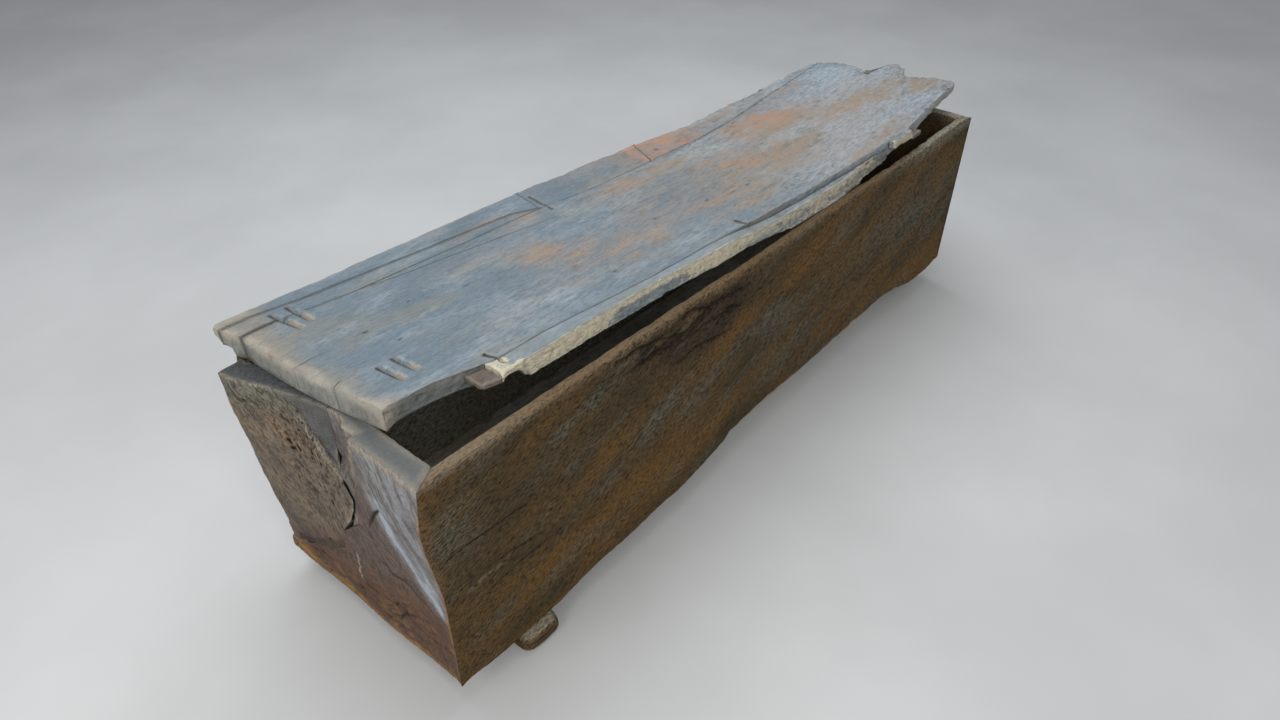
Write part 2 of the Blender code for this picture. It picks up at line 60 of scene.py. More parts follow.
# The coffin frame: x from the foot end toward the head, y from the front face to the back,
# z from the ground. ORIGIN is its corner in the row frame.
ORIGIN = np.array((-0.94, -0.25295, 0.0))
BOX_LENGTH = 1.8
BOX_WIDTH = 0.5
FLOOR_LEVEL = 0.0425
FOOT_RIM = 0.532
FOOT_FACE = 0.006  # where the foot end's face stands, half way up
HEAD_RIM = 0.496
LID_TOP = 0.0463  # above the rim
CORNER_RISE = 0.028  # of the lid's front corner at the head end
CORNER_START = 0.6944  # share of the length where that rise starts
MARGIN = 0.0002  # pieces stay this far inside the CAD box

# One channel is painted shade in pits, holes, corners and under the slab; wear, pale, dark, red and
# line carry some painted light and shade too.
CHANNELS = ("wear", "warm", "dark", "pale", "red", "hollow", "green", "line")
SHARP = math.cos(math.radians(32))
NEARLY_LONGEST = 0.8  # the share of a triangle's longest edge from which an edge is split with it
JOINT_REACH = 0.003  # an arris this close to another piece is a joint and stays crisp
FAR = 9.0  # more than any distance that is measured here


# Noise and masks


def hashed(cell, seed):
    """A number from 0 to 1 for each whole-number cell."""
    x, y, z = cell
    h = (x * 374761393 + y * 668265263 + z * 1442695041 + seed * 974634777) & 0xFFFFFFFF
    h = ((h ^ (h >> 13)) * 1274126177) & 0xFFFFFFFF
    h = ((h ^ (h >> 15)) * 739982445) & 0xFFFFFFFF
    return ((h ^ (h >> 16)) & 0xFFFF) / 65535.0


def noise(points, seed=0):
    """Smooth value noise from -1 to 1, one bump to the unit."""
    low = np.floor(points).astype(np.int64)
    part = points - low
    part = part * part * (3 - 2 * part)
    total = np.zeros(len(points))
    for corner in range(8):
        step = [(corner >> axis) & 1 for axis in range(3)]
        weight = np.ones(len(points))
        for axis in range(3):
            weight *= part[:, axis] if step[axis] else 1 - part[:, axis]
        total += weight * hashed([low[:, axis] + step[axis] for axis in range(3)], seed)
    return total * 2 - 1


def fbm(points, size, seed=0, octaves=4, gain=0.55):
    """Noise at several scales. size is the largest bump's, in metres, one number or three."""
    scaled = points / np.asarray(size, float)
    total, height, top = np.zeros(len(points)), 1.0, 0.0
    for octave in range(octaves):
        total += height * noise(scaled + 17.3 * octave, seed + octave)
        top += height
        height *= gain
        scaled = scaled * 2.03
    return total / top * 1.6


def ease(low, high, value):
    """0 at low, 1 at high, and a smooth change between them."""
    share = np.clip((value - low) / (high - low), 0, 1)
    return share * share * (3 - 2 * share)


def patterns(*sources):
    """Noises by name, from pairs of coordinates and a table. A row of a table is the noise's
    size, seed and octaves. Where two limits follow, it becomes patches of 0 to 1 between them."""
    made = {}
    for points, table in sources:
        for name, (size, seed, octaves, *limits) in table.items():
            value = fbm(points, size, seed, octaves)
            made[name] = ease(*limits, value) if limits else value
    return SimpleNamespace(**made)


def cells(points, size, seed=0):
    """Distance to the nearest of scattered points, in cells, and that point's own number."""
    scaled = points / np.asarray(size, float)
    low = np.floor(scaled).astype(np.int64)
    best, tag = np.full(len(points), FAR), np.zeros(len(points))
    for step in np.ndindex(3, 3, 3):
        cell = [low[:, axis] + step[axis] - 1 for axis in range(3)]
        centre = np.stack([cell[axis] + hashed(cell, seed + 7 * axis) for axis in range(3)], axis=1)
        away = np.linalg.norm(scaled - centre, axis=1)
        closer = away < best
        best = np.where(closer, away, best)
        tag = np.where(closer, hashed(cell, seed + 31), tag)
    return best, tag


def bell(away, width):
    """1 at no distance, less than half of it at the width, and 0 far away."""
    return np.exp(-((away / width) ** 2))


def spot(u, v, centre, radii, turn=0.0):
    """1 in the middle of a soft ellipse, falling to 0 outside it."""
    c, s = math.cos(math.radians(turn)), math.sin(math.radians(turn))
    du, dv = u - centre[0], v - centre[1]
    a = (du * c + dv * s) / radii[0]
    b = (dv * c - du * s) / radii[1]
    return np.exp(-(a * a + b * b))


def line_distance(u, v, line):
    """Distance to a polyline, and the share of the way along it."""
    best, share = np.full(len(u), FAR), np.zeros(len(u))
    pieces = len(line) - 1
    for number in range(pieces):
        (au, av), (bu, bv) = line[number], line[number + 1]
        du, dv = bu - au, bv - av
        t = np.clip(((u - au) * du + (v - av) * dv) / (du * du + dv * dv), 0, 1)
        away = np.hypot(u - au - t * du, v - av - t * dv)
        closer = away < best
        best = np.where(closer, away, best)
        share = np.where(closer, (number + t) / pieces, share)
    return best, share


def rim_height(x):
    return FOOT_RIM + (HEAD_RIM - FOOT_RIM) * x / BOX_LENGTH


# Meshes


def read_node(name):
    """A CAD node's points, in the coffin frame, and its triangles, with doubles merged."""
    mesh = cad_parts[name].data
    mesh.calc_loop_triangles()
    points = np.zeros(len(mesh.vertices) * 3)
    mesh.vertices.foreach_get("co", points)
    faces = np.zeros(len(mesh.loop_triangles) * 3, int)
    mesh.loop_triangles.foreach_get("vertices", faces)
    points = points.reshape(-1, 3) - ORIGIN
    rounded = np.round(points, 5)
    _, first, back = np.unique(rounded, axis=0, return_index=True, return_inverse=True)
    faces = back.ravel()[faces.reshape(-1, 3)]
    keep = (faces != np.roll(faces, -1, axis=1)).all(axis=1)
    return points[first], faces[keep]


def sides_of(faces):
    """The triangles' sides as pairs of points, all first sides before all second ones."""
    return np.sort(np.vstack((faces[:, [0, 1]], faces[:, [1, 2]], faces[:, [2, 0]])), axis=1)


def edge_list(faces):
    """The mesh's edges, and the number of the edge that each triangle's side lies on."""
    pairs = sides_of(faces)
    count = pairs.max() + 1
    keys, back = np.unique(pairs[:, 0] * count + pairs[:, 1], return_inverse=True)
    return np.stack((keys // count, keys % count), axis=1), back.ravel()


def stacked(*triangles):
    return [np.stack(corners, axis=1) for corners in triangles]


def split(points, faces, new):
    """Cuts the triangles at the new points on their sides. new is -1 on a side that stays."""
    count = (new >= 0).sum(axis=1)
    a, b, c = faces[count == 3].T
    ab, bc, ca = new[count == 3].T
    out = [faces[count == 0]]
    out += stacked((a, ab, ca), (ab, b, bc), (ca, bc, c), (ab, bc, ca))
    for shift in range(3):
        turned, sides = np.roll(faces, -shift, axis=1), np.roll(new, -shift, axis=1)
        one = (count == 1) & (sides[:, 0] >= 0)
        a, b, c = turned[one].T
        ab = sides[one, 0]
        out += stacked((a, ab, c), (ab, b, c))
        two = (count == 2) & (sides[:, 2] < 0)
        a, b, c = turned[two].T
        ab, bc = sides[two, 0], sides[two, 1]
        across = np.linalg.norm(points[a] - points[bc], axis=1)
        first = across <= np.linalg.norm(points[ab] - points[c], axis=1)
        out += stacked((ab, b, bc))
        out += [part[first] for part in stacked((a, ab, bc), (a, bc, c))]
        out += [part[~first] for part in stacked((a, ab, c), (ab, bc, c))]
    return np.vstack(out)


def refine(points, faces, target):
    """Splits the longer edges of the triangles, until none is longer than target(middle)."""
    for _ in range(40):
        edges, back = edge_list(faces)
        middle = (points[edges[:, 0]] + points[edges[:, 1]]) / 2
        length = np.linalg.norm(points[edges[:, 0]] - points[edges[:, 1]], axis=1)
        sides = back.reshape(3, -1)
        longer = length[sides] > NEARLY_LONGEST * length[sides].max(axis=0)
        cut = np.zeros(len(edges), bool)
        cut[sides[longer]] = True
        cut &= length > target(middle)
        if not cut.any():
            break
        new = np.full(len(edges), -1)
        new[cut] = len(points) + np.arange(cut.sum())
        points = np.vstack((points, middle[cut]))
        faces = split(points, faces, new[sides].T)
    return points, faces


def face_normals(points, faces):
    a, b, c = (points[faces[:, i]] for i in range(3))
    return np.cross(b - a, c - a)


def unit(vectors):
    return vectors / np.maximum(np.linalg.norm(vectors, axis=1, keepdims=True), 1e-12)


def point_normals(points, faces):
    flat = face_normals(points, faces)
    total = np.zeros_like(points)
    for corner in range(3):
        for axis in range(3):
            total[:, axis] += np.bincount(faces[:, corner], flat[:, axis], len(points))
    return unit(total)


def relax(points, edges, weight, rounds):
    """Moves each point toward the middle of its neighbours by its weight."""
    ends, others = edges.T.ravel(), edges[:, ::-1].T.ravel()
    count = np.maximum(np.bincount(ends, minlength=len(points)), 1)[:, None]
    for _ in range(rounds):
        sums = [np.bincount(ends, points[others, axis], len(points)) for axis in range(3)]
        points = points + (np.stack(sums, axis=1) / count - points) * weight[:, None]
    return points


def sharp_points(points, faces):
    """Marks of the points on outward and on inward arrises."""
    flat = unit(face_normals(points, faces))
    middle = points[faces].mean(axis=1)
    pairs = sides_of(faces)
    owner = np.tile(np.arange(len(faces)), 3)
    order = np.lexsort((pairs[:, 1], pairs[:, 0]))
    pairs, owner = pairs[order], owner[order]
    same = (pairs[:-1] == pairs[1:]).all(axis=1)
    one, two = owner[:-1][same], owner[1:][same]
    edge = pairs[:-1][same]
    bend = (flat[one] * flat[two]).sum(axis=1) < SHARP
    rise = ((middle[two] - middle[one]) * flat[one]).sum(axis=1)
    out, inward = np.zeros(len(points), bool), np.zeros(len(points), bool)
    out[edge[bend & (rise < 0)].ravel()] = True
    inward[edge[bend & (rise >= 0)].ravel()] = True
    return out, inward


def distance_to(points, marked, limit=0.024):
    """Each point's distance to the nearest marked point, up to a limit."""
    away = np.full(len(points), limit)
    if not marked.any():
        return away
    cell = np.floor(points / limit).astype(np.int64) + 4
    factors = np.array((512 * 512, 512, 1))
    key = cell @ factors
    steps = (np.array(list(np.ndindex(3, 3, 3))) - 1) @ factors
    close = np.isin(key, (np.unique(key[marked])[:, None] + steps).ravel())
    tree = KDTree(int(marked.sum()))
    for number, at in enumerate(points[marked].tolist()):
        tree.insert(at, number)
    tree.balance()
    numbers = np.flatnonzero(close)
    found = [tree.find(at)[2] for at in points[numbers].tolist()]
    away[numbers] = np.minimum(found, limit)
    return away


def near_others(name, points, marked, reach):
    """Marks of the marked points that lie within reach of another piece."""
    near = np.zeros(len(points), bool)
    low, high = points.min(axis=0) - reach, points.max(axis=0) + reach
    for other, (low_other, high_other, tree) in SURFACES.items():
        if other == name or (low_other > high).any() or (high_other < low).any():
            continue
        inside = marked & ~near
        inside &= (points > low_other - reach).all(axis=1)
        inside &= (points < high_other + reach).all(axis=1)
        for number in np.flatnonzero(inside):
            near[number] = tree.find_nearest(Vector(points[number]), reach)[0] is not None
    return near


def surface(points, faces):
    tree = BVHTree.FromPolygons(points.tolist(), faces.tolist())
    return points.min(axis=0), points.max(axis=0), tree


def link(name, data):
    """A new object with the data, put into the scene."""
    thing = bpy.data.objects.new(name, data)
    bpy.context.scene.collection.objects.link(thing)
    return thing


SOLIDS = {name: read_node(name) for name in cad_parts}
SURFACES = {name: surface(*solid) for name, solid in SOLIDS.items()}


class Piece:
    """A refined copy of a CAD solid, with relief and painted masks."""

    def __init__(self, name, target, joint_reach=JOINT_REACH):
        self.name = name
        self.points, self.faces = refine(*SOLIDS[name], target)
        self.edges, _ = edge_list(self.faces)
        out, inward = sharp_points(self.points, self.faces)
        joint = near_others(name, self.points, out, joint_reach)
        self.joint_away = distance_to(self.points, joint)
        self.arris_away = distance_to(self.points, out & ~joint)
        self.hollow_away = distance_to(self.points, inward)
        self.normals = point_normals(self.points, self.faces)
        self.paint = {channel: np.zeros(len(self.points)) for channel in CHANNELS}

    def wear(self, reach, rounds, low=0.25, zone=1.0):
        """Rounds the arrises unevenly, but not those of tight joints."""
        uneven = np.clip(0.5 + 0.8 * fbm(self.points, 0.05, 3, 3), low, 1)
        free = ease(0.0005, 0.006, self.joint_away)
        weight = bell(self.arris_away, reach) * uneven * free
        weight = np.maximum(weight, 0.35 * ease(0.004, 0.012, self.hollow_away) * free)
        self.points = relax(self.points, self.edges, weight * zone, rounds)
        self.normals = point_normals(self.points, self.faces)

    def push(self, depth):
        """Moves the surface inward by depth, less beside a tight joint."""
        held = 0.15 + 0.85 * ease(0.0, 0.006, self.joint_away)
        self.points = self.points - self.normals * (depth * held)[:, None]

    def facing(self, axis, sign, low=0.4, high=0.9):
        """1 on faces that look along an axis, up or down it by the sign, and 0 on others."""
        return ease(low, high, sign * self.normals[:, axis])

    def tint(self, mask, **amounts):
        """Adds the amounts to their channels where the mask is."""
        for channel, amount in amounts.items():
            self.paint[channel] = np.clip(self.paint[channel] + amount * mask, 0, 1)

    def fade(self, mask, **amounts):
        """Takes the shares off their channels where the mask is."""
        for channel, amount in amounts.items():
            self.paint[channel] *= 1 - amount * mask

    def stain(self, u, v, mask, turn=0.0, **places):
        """Adds soft spots to the channels. A place is its middle, two radii and a strength."""
        for channel, spots in places.items():
            for cu, cv, ru, rv, strength in spots:
                self.tint(spot(u, v, (cu, cv), (ru, rv), turn) * mask, **{channel: strength})

    def crack(self, lines, axes, width, depth, mask):
        """Cuts cracks along lines that are drawn on two axes."""
        u, v = self.points[:, axes[0]], self.points[:, axes[1]]
        for line in lines:
            away, share = line_distance(u, v, line)
            shown = mask * np.clip(4 * share * (1 - share) + 0.25, 0, 1)
            self.push(depth * bell(away, width) * shown)
            self.tint(shown, line=bell(away, width * 1.3))

    def finish(self, material):
        low, high = np.array(cad_box[0]) + MARGIN, np.array(cad_box[1]) - MARGIN
        points = np.clip(self.points + ORIGIN, low, high)
        mesh = bpy.data.meshes.new(self.name + "_wood")
        mesh.vertices.add(len(points))
        mesh.vertices.foreach_set("co", points.ravel())
        mesh.loops.add(self.faces.size)
        mesh.loops.foreach_set("vertex_index", self.faces.ravel())
        mesh.polygons.add(len(self.faces))
        mesh.polygons.foreach_set("loop_start", np.arange(len(self.faces)) * 3)
        mesh.polygons.foreach_set("use_smooth", np.ones(len(self.faces), bool))
        mesh.update(calc_edges=True)
        mesh.validate()
        for number, attribute in enumerate(("paint_a", "paint_b")):
            layer = mesh.color_attributes.new(attribute, "FLOAT_COLOR", "POINT")
            values = [self.paint[c] for c in CHANNELS[number * 4 : number * 4 + 4]]
            layer.data.foreach_set("color", np.stack(values, axis=1).ravel())
        mesh.materials.append(material)
        thing = link(self.name + "_wood", mesh)
        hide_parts(self.name)
        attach(thing, "root")


def graded(coarse, lines=(), axes=(0, 1), fine=0.0015, reach=0.0025):
    """The longest edge wanted at each point: coarse(point), less beside the given lines."""

    def target(points):
        wanted = coarse(points)
        for line in lines:
            away, _ = line_distance(points[:, axes[0]], points[:, axes[1]], line)
            wanted = np.minimum(wanted, fine + np.maximum(away - reach, 0) * 0.6)
        return wanted

    return target


def even(size):
    """The same longest edge everywhere."""
    return lambda points: np.full(len(points), size)


def turned_by(points, first, second, tilt):
    """The points with two of their coordinates turned by the tilt."""
    c, s = math.cos(tilt), math.sin(tilt)
    out = points.copy()
    out[:, first] = points[:, first] * c + points[:, second] * s
    out[:, second] = points[:, second] * c - points[:, first] * s
    return out


# Materials


class Graph:
    """A short way to write a node material."""

    def __init__(self, name):
        self.material = bpy.data.materials.new(name)
        self.material.use_nodes = True
        self.tree = self.material.node_tree
        self.shader = self.tree.nodes["Principled BSDF"]

    def node(self, kind, values=None, **settings):
        made = self.tree.nodes.new("ShaderNode" + kind)
        for key, value in settings.items():
            setattr(made, key, value)
        for key, value in (values or {}).items():
            self.put(made.inputs[key], value)
        return made

    def put(self, socket, value):
        if isinstance(value, bpy.types.NodeSocket):
            self.tree.links.new(value, socket)
        elif socket.type == "RGBA":
            socket.default_value = (*value, 1.0)
        else:
            socket.default_value = value

    def maths(self, operation, a, b, clamp=False):
        return self.node("Math", {0: a, 1: b}, operation=operation, use_clamp=clamp).outputs[0]

    def plus(self, a, b):
        return self.maths("ADD", a, b)

    def times(self, a, b, clamp=False):
        return self.maths("MULTIPLY", a, b, clamp)

    def noise(self, vector, scale, detail=4.0, rough=0.55, twist=0.0):
        values = {"Scale": scale, "Detail": detail, "Roughness": rough, "Distortion": twist}
        return self.node("TexNoise", {"Vector": vector, **values}).outputs["Fac"]

    def band(self, value, low, high, bottom=0.0, top=1.0):
        limits = {"From Min": low, "From Max": high, "To Min": bottom, "To Max": top}
        made = self.node("MapRange", {"Value": value, **limits}, interpolation_type="SMOOTHSTEP")
        return made.outputs["Result"]

    def mix(self, factor, a, b, blend="MIX"):
        made = self.node("Mix", data_type="RGBA", blend_type=blend, clamp_factor=True)
        for number, value in ((0, factor), (6, a), (7, b)):
            self.put(made.inputs[number], value)
        return made.outputs[2]

    def grey(self, value):
        return self.node("CombineColor", {0: value, 1: value, 2: value}).outputs[0]

    def turned(self, vector, turn, stretch):
        """The coordinates turned so that X lies along the grain, then stretched."""
        angles = [math.radians(a) for a in turn]
        spun = self.node("Mapping", {"Vector": vector, "Rotation": angles}).outputs[0]
        return self.node("Mapping", {"Vector": spun, "Scale": stretch}).outputs[0]

    def painted(self):
        """The painted channels of the mesh, by name."""
        masks = {}
        for number, attribute in enumerate(("paint_a", "paint_b")):
            source = self.node("Attribute", attribute_name=attribute)
            parts = self.node("SeparateColor", {"Color": source.outputs["Color"]})
            sockets = [*parts.outputs[:3], source.outputs["Alpha"]]
            masks.update(zip(CHANNELS[number * 4 : number * 4 + 4], sockets))
        return masks


WOOD = {
    "turn": (0, 0, 0),  # of the grain, in degrees
    "fine": (40, 170, 170),  # how close the streaks lie along the grain and across it
    "wide": (8, 30, 30),  # the same for the patches
    "seed": 0.0,
    "fibre": 0.3,  # how dark the streaks are
    "speck": 0.25,  # how dark the finest streaks are
    "tone": 0.5,  # share of the patches in the base colour, beside the clouds
    "bump": 0.5,
    "porous": 0.0,  # how close the pits lie
    "calm_pale": 0.7,  # how much of the grain is left in pale places
    "calm_top": 1.0,  # and on faces that look up
    "dust": None,  # colour of the dust on faces that look up
    "ragged": (),  # channels whose patches have a ragged edge
}
ROUGHNESS = (0.74, 0.95)
BUMP_DEPTH = 0.003


def wood_noises(g, s):
    """Patches, streaks and finest streaks along the grain, clouds, and specks."""
    place = g.node("TexCoord").outputs["Object"]
    shift = (s.seed, s.seed * 0.7, s.seed * 1.3)
    place = g.node("VectorMath", {0: place, 1: shift}, operation="ADD").outputs[0]
    finest = [value * 2.7 for value in s.fine]
    return SimpleNamespace(
        place=place,
        patch=g.noise(g.turned(place, s.turn, s.wide), 1.0, 6, 0.62, 0.5),
        streak=g.noise(g.turned(place, s.turn, s.fine), 1.0, 6, 0.65, 0.25),
        hair=g.noise(g.turned(place, s.turn, finest), 1.0, 4, 0.65),
        cloud=g.noise(place, 7.0, 7, 0.62, 0.4),
        grain=g.noise(place, 330.0, 4, 0.7),
    )


def base_colour(g, s, f, base, upward):
    """The bare wood between its three colours, from dark to light, with its dust."""
    dark, middle, light = ((*colour, 1.0) for colour in base)
    blend = g.plus(g.times(f.cloud, 1 - s.tone), g.times(f.patch, s.tone))
    ramp = g.node("ValToRGB", {"Fac": blend})
    stops = ramp.color_ramp.elements
    stops[0].position, stops[0].color = 0.36, dark
    stops[1].position, stops[1].color = 0.64, light
    stops.new(0.5).color = middle
    if not s.dust:
        return ramp.outputs[0]
    return g.mix(g.times(upward, g.band(f.cloud, 0.3, 0.6, 0.7, 1.0)), ramp.outputs[0], s.dust)


def add_layers(g, s, f, colour, layers, masks):
    """Lays the painted channels over the wood, each in its first and second colour."""
    uneven = g.plus(g.times(f.streak, 0.55), g.times(f.grain, 0.45))
    for channel, (first, second) in layers.items():
        mask = masks[channel]
        if channel in s.ragged:
            shifted = g.plus(mask, g.times(g.maths("SUBTRACT", uneven, 0.5), 2.6))
            share = g.times(g.band(shifted, 0.2, 0.8), g.band(mask, 0.0, 0.35))
        else:
            share = g.times(mask, g.band(uneven, 0.34, 0.6, 0.45, 1.2), True)
        shade = g.mix(g.band(f.streak, 0.38, 0.62), first, second)
        colour = g.mix(share, colour, shade)
    return colour


def porous_pits(g, s, f, mask):
    """Large and small pits where the mask is, each with its depth."""
    for scale, depth in ((s.porous, 1.0), (s.porous * 0.45, 1.5)):
        place = g.turned(f.place, s.turn, (1.0, 1.0, 0.6))
        holes = g.node("TexVoronoi", {"Vector": place, "Scale": scale, "Randomness": 1.0})
        pit = g.band(holes.outputs["Distance"], 0.20, 0.42, 1.0, 0.0)
        chosen = g.node("SeparateColor", {"Color": holes.outputs["Color"]}).outputs[0]
        yield g.times(g.times(pit, g.band(chosen, 0.45, 0.55)), mask), depth


def wood(name, base, layers, **settings):
    """Weathered wood of three base colours and painted layers, with WOOD's settings."""
    s = SimpleNamespace(**{**WOOD, **settings})
    g = Graph(name)
    f = wood_noises(g, s)
    masks = g.painted()
    normal = g.node("NewGeometry").outputs["Normal"]
    upward = g.band(g.node("SeparateXYZ", {0: normal}).outputs["Z"], 0.55, 0.9)
    colour = base_colour(g, s, f, base, upward)
    colour = add_layers(g, s, f, colour, layers, masks)
    calm = g.band(g.maths("MAXIMUM", masks["pale"], masks["red"]), 0.1, 1.0, 1.0, s.calm_pale)
    calm = g.times(calm, g.band(upward, 0.0, 1.0, 1.0, s.calm_top))
    # Painted shade of pits, holes and corners darkens the colour
    shades = [g.band(masks["hollow"], 0.0, 1.0, 1.0, 0.2)]
    for value, low, high, depth in ((f.streak, 0.36, 0.56, s.fibre), (f.hair, 0.38, 0.58, s.speck)):
        shades.append(g.plus(g.times(g.band(value, low, high, -depth, depth * 0.3), calm), 1.0))
    height = g.times(g.plus(g.times(f.streak, 0.9), g.times(f.hair, 0.55)), calm)
    height = g.plus(height, g.times(f.grain, 0.22))
    if s.porous:
        for pit, depth in porous_pits(g, s, f, masks["line"]):
            # The pits get painted shade in their colour, as well as depth in the bump
            shades.append(g.band(pit, 0.0, 0.8, 1.0, 0.12))
            height = g.maths("SUBTRACT", height, g.times(pit, depth))
    for shade in shades:
        colour = g.mix(1.0, colour, g.grey(shade), "MULTIPLY")
    strength = {"Strength": min(s.bump, 1.0), "Distance": BUMP_DEPTH * max(s.bump, 1.0)}
    relief = g.node("Bump", {"Height": height, **strength}).outputs[0]
    rough = g.band(f.grain, 0.3, 0.7, *ROUGHNESS)
    found = {"Base Color": colour, "Roughness": rough, "Specular IOR Level": 0.22, "Normal": relief}
    for key, value in found.items():
        g.put(g.shader.inputs[key], value)
    return g.material


# Besides the wood's own colours, wear and pale also hold painted highlights, dark painted shade on
# sides and undersides, and line the painted shadow in the slots.
LID_LAYERS = {
    "green": ((0.25, 0.235, 0.195), (0.21, 0.21, 0.19)),
    "pale": ((0.27, 0.315, 0.36), (0.34, 0.37, 0.395)),
    "warm": ((0.33, 0.235, 0.165), (0.27, 0.225, 0.185)),
    "red": ((0.42, 0.235, 0.15), (0.33, 0.21, 0.15)),
    "dark": ((0.085, 0.088, 0.078), (0.15, 0.15, 0.125)),
    "wear": ((0.40, 0.35, 0.28), (0.31, 0.29, 0.25)),
    "line": ((0.045, 0.036, 0.028), (0.075, 0.058, 0.042)),
}
LID = wood(
    "lid_wood_weathered",
    ((0.136, 0.172, 0.202), (0.152, 0.193, 0.226), (0.176, 0.216, 0.246)),
    LID_LAYERS, fine=(45, 170, 170), wide=(5, 14, 14), fibre=0.13, speck=0.12,
)
STRIP = wood(
    "strip_wood_weathered",
    ((0.17, 0.20, 0.215), (0.205, 0.24, 0.26), (0.25, 0.285, 0.30)),
    {**LID_LAYERS, "wear": ((0.60, 0.53, 0.39), (0.46, 0.42, 0.32))}, ragged=("wear",),
    fine=(60, 160, 160), wide=(6, 16, 16), speck=0.2, bump=1.0, seed=1.7, calm_top=0.3,
)
TENON = wood(
    "tenon_wood_weathered",
    ((0.095, 0.072, 0.06), (0.135, 0.105, 0.088), (0.185, 0.15, 0.13)),
    LID_LAYERS, fine=(30, 200, 200), wide=(14, 40, 40), fibre=0.25, speck=0.2, bump=0.4, seed=4.1,
)
# Besides the wood's own colours, pale also holds painted light on inner faces, line painted shade in a
# hole and crevices, and wear painted highlights on ridges.
SIDE_LAYERS = {
    "warm": ((0.25, 0.122, 0.026), (0.185, 0.10, 0.03)),
    "green": ((0.125, 0.113, 0.076), (0.17, 0.157, 0.115)),
    "red": ((0.15, 0.07, 0.03), (0.21, 0.095, 0.04)),
    "dark": ((0.042, 0.030, 0.018), (0.080, 0.055, 0.031)),
    "pale": ((0.33, 0.32, 0.25), (0.42, 0.41, 0.34)),
    "wear": ((0.27, 0.185, 0.11), (0.20, 0.135, 0.08)),
    "line": ((0.026, 0.018, 0.010), (0.04, 0.028, 0.015)),
}
SIDE = wood(
    "side_wood_weathered",
    ((0.078, 0.052, 0.023), (0.115, 0.074, 0.029), (0.165, 0.10, 0.035)),
    SIDE_LAYERS, turn=(0, 16, 0), fine=(85, 290, 290), wide=(5, 16, 16), fibre=0.7, speck=0.5,
    bump=2.2, tone=0.6, calm_top=0.7,
)
# Besides the wood's own colours, wear also holds a painted highlight along a crack and painted light
# low in the recess.
END_LAYERS = {
    "green": ((0.105, 0.073, 0.055), (0.15, 0.105, 0.083)),
    "red": ((0.083, 0.042, 0.026), (0.118, 0.060, 0.036)),
    "pale": ((0.42, 0.465, 0.52), (0.30, 0.325, 0.36)),
    "warm": ((0.36, 0.19, 0.05), (0.26, 0.14, 0.045)),
    "dark": ((0.07, 0.055, 0.045), (0.11, 0.09, 0.075)),
    "wear": ((0.44, 0.37, 0.28), (0.33, 0.28, 0.22)),
    "line": ((0.03, 0.022, 0.017), (0.05, 0.036, 0.027)),
}
END = wood(
    "end_wood_weathered",
    ((0.135, 0.118, 0.113), (0.19, 0.173, 0.165), (0.255, 0.238, 0.228)),
    END_LAYERS, turn=(28, 0, 0), fine=(170, 170, 50), wide=(26, 26, 7), fibre=0.32, speck=0.3,
    bump=1.5, seed=2.3, calm_pale=0.35, calm_top=0.35, dust=(0.112, 0.120, 0.118),
)
# Besides the wood's own colours, wear also holds a painted highlight on the broken face's tip, and red
# painted shade along the lower edge.
SLAB_LAYERS = {
    "green": ((0.13, 0.128, 0.105), (0.185, 0.178, 0.142)),
    "pale": ((0.072, 0.080, 0.086), (0.105, 0.112, 0.116)),
    "red": ((0.055, 0.036, 0.032), (0.095, 0.06, 0.05)),
    "warm": ((0.29, 0.20, 0.125), (0.23, 0.165, 0.11)),
    "dark": ((0.06, 0.052, 0.045), (0.10, 0.088, 0.075)),
    "wear": ((0.38, 0.34, 0.27), (0.29, 0.26, 0.21)),
}
SLAB = wood(
    "slab_wood_weathered",
    ((0.135, 0.105, 0.078), (0.195, 0.15, 0.108), (0.26, 0.20, 0.145)),
    SLAB_LAYERS, turn=(28, 0, 0), fine=(150, 150, 50), wide=(26, 26, 10), fibre=0.5, speck=0.5,
    bump=1.9, seed=5.9, porous=170.0, calm_pale=0.25, calm_top=0.5, dust=(0.064, 0.068, 0.074),
)
# Wood of the floor planks inside the box: its colour lifted pale, as painted light where the box lies
# in shade
INNER_PAINTED_LIGHT = wood(
    "inner_wood_painted_light",
    ((0.34, 0.325, 0.28), (0.42, 0.40, 0.345), (0.50, 0.48, 0.42)),
    SIDE_LAYERS, fine=(30, 160, 160), wide=(5, 18, 18), fibre=0.35, bump=0.6, seed=3.3,
)


# Lid. Lines and places are x and y. A stain is its middle, its two radii and its strength.

LID_CRACKS = (
    ((0.022, 0.316), (0.04, 0.314), (0.06, 0.317), (0.093, 0.312)),
    ((0.028, 0.216), (0.044, 0.228), (0.062, 0.236)),
    ((0.202, 0.433), (0.327, 0.413), (0.48, 0.39), (0.655, 0.36)),
)
BACK_JOINT = (
    (0.0, 0.497), (0.06, 0.495), (0.144, 0.48), (0.52, 0.445), (0.593, 0.438), (0.65, 0.413),
)
WEDGE_JOINT = (
    (0.017, 0.452), (0.06, 0.454), (0.211, 0.431), (0.47, 0.418), (0.65, 0.413),
)
FRONT_JOINT = (
    (0.24, 0.094), (0.343, 0.094), (0.592, 0.07), (0.88, 0.055), (1.046, 0.044),
)
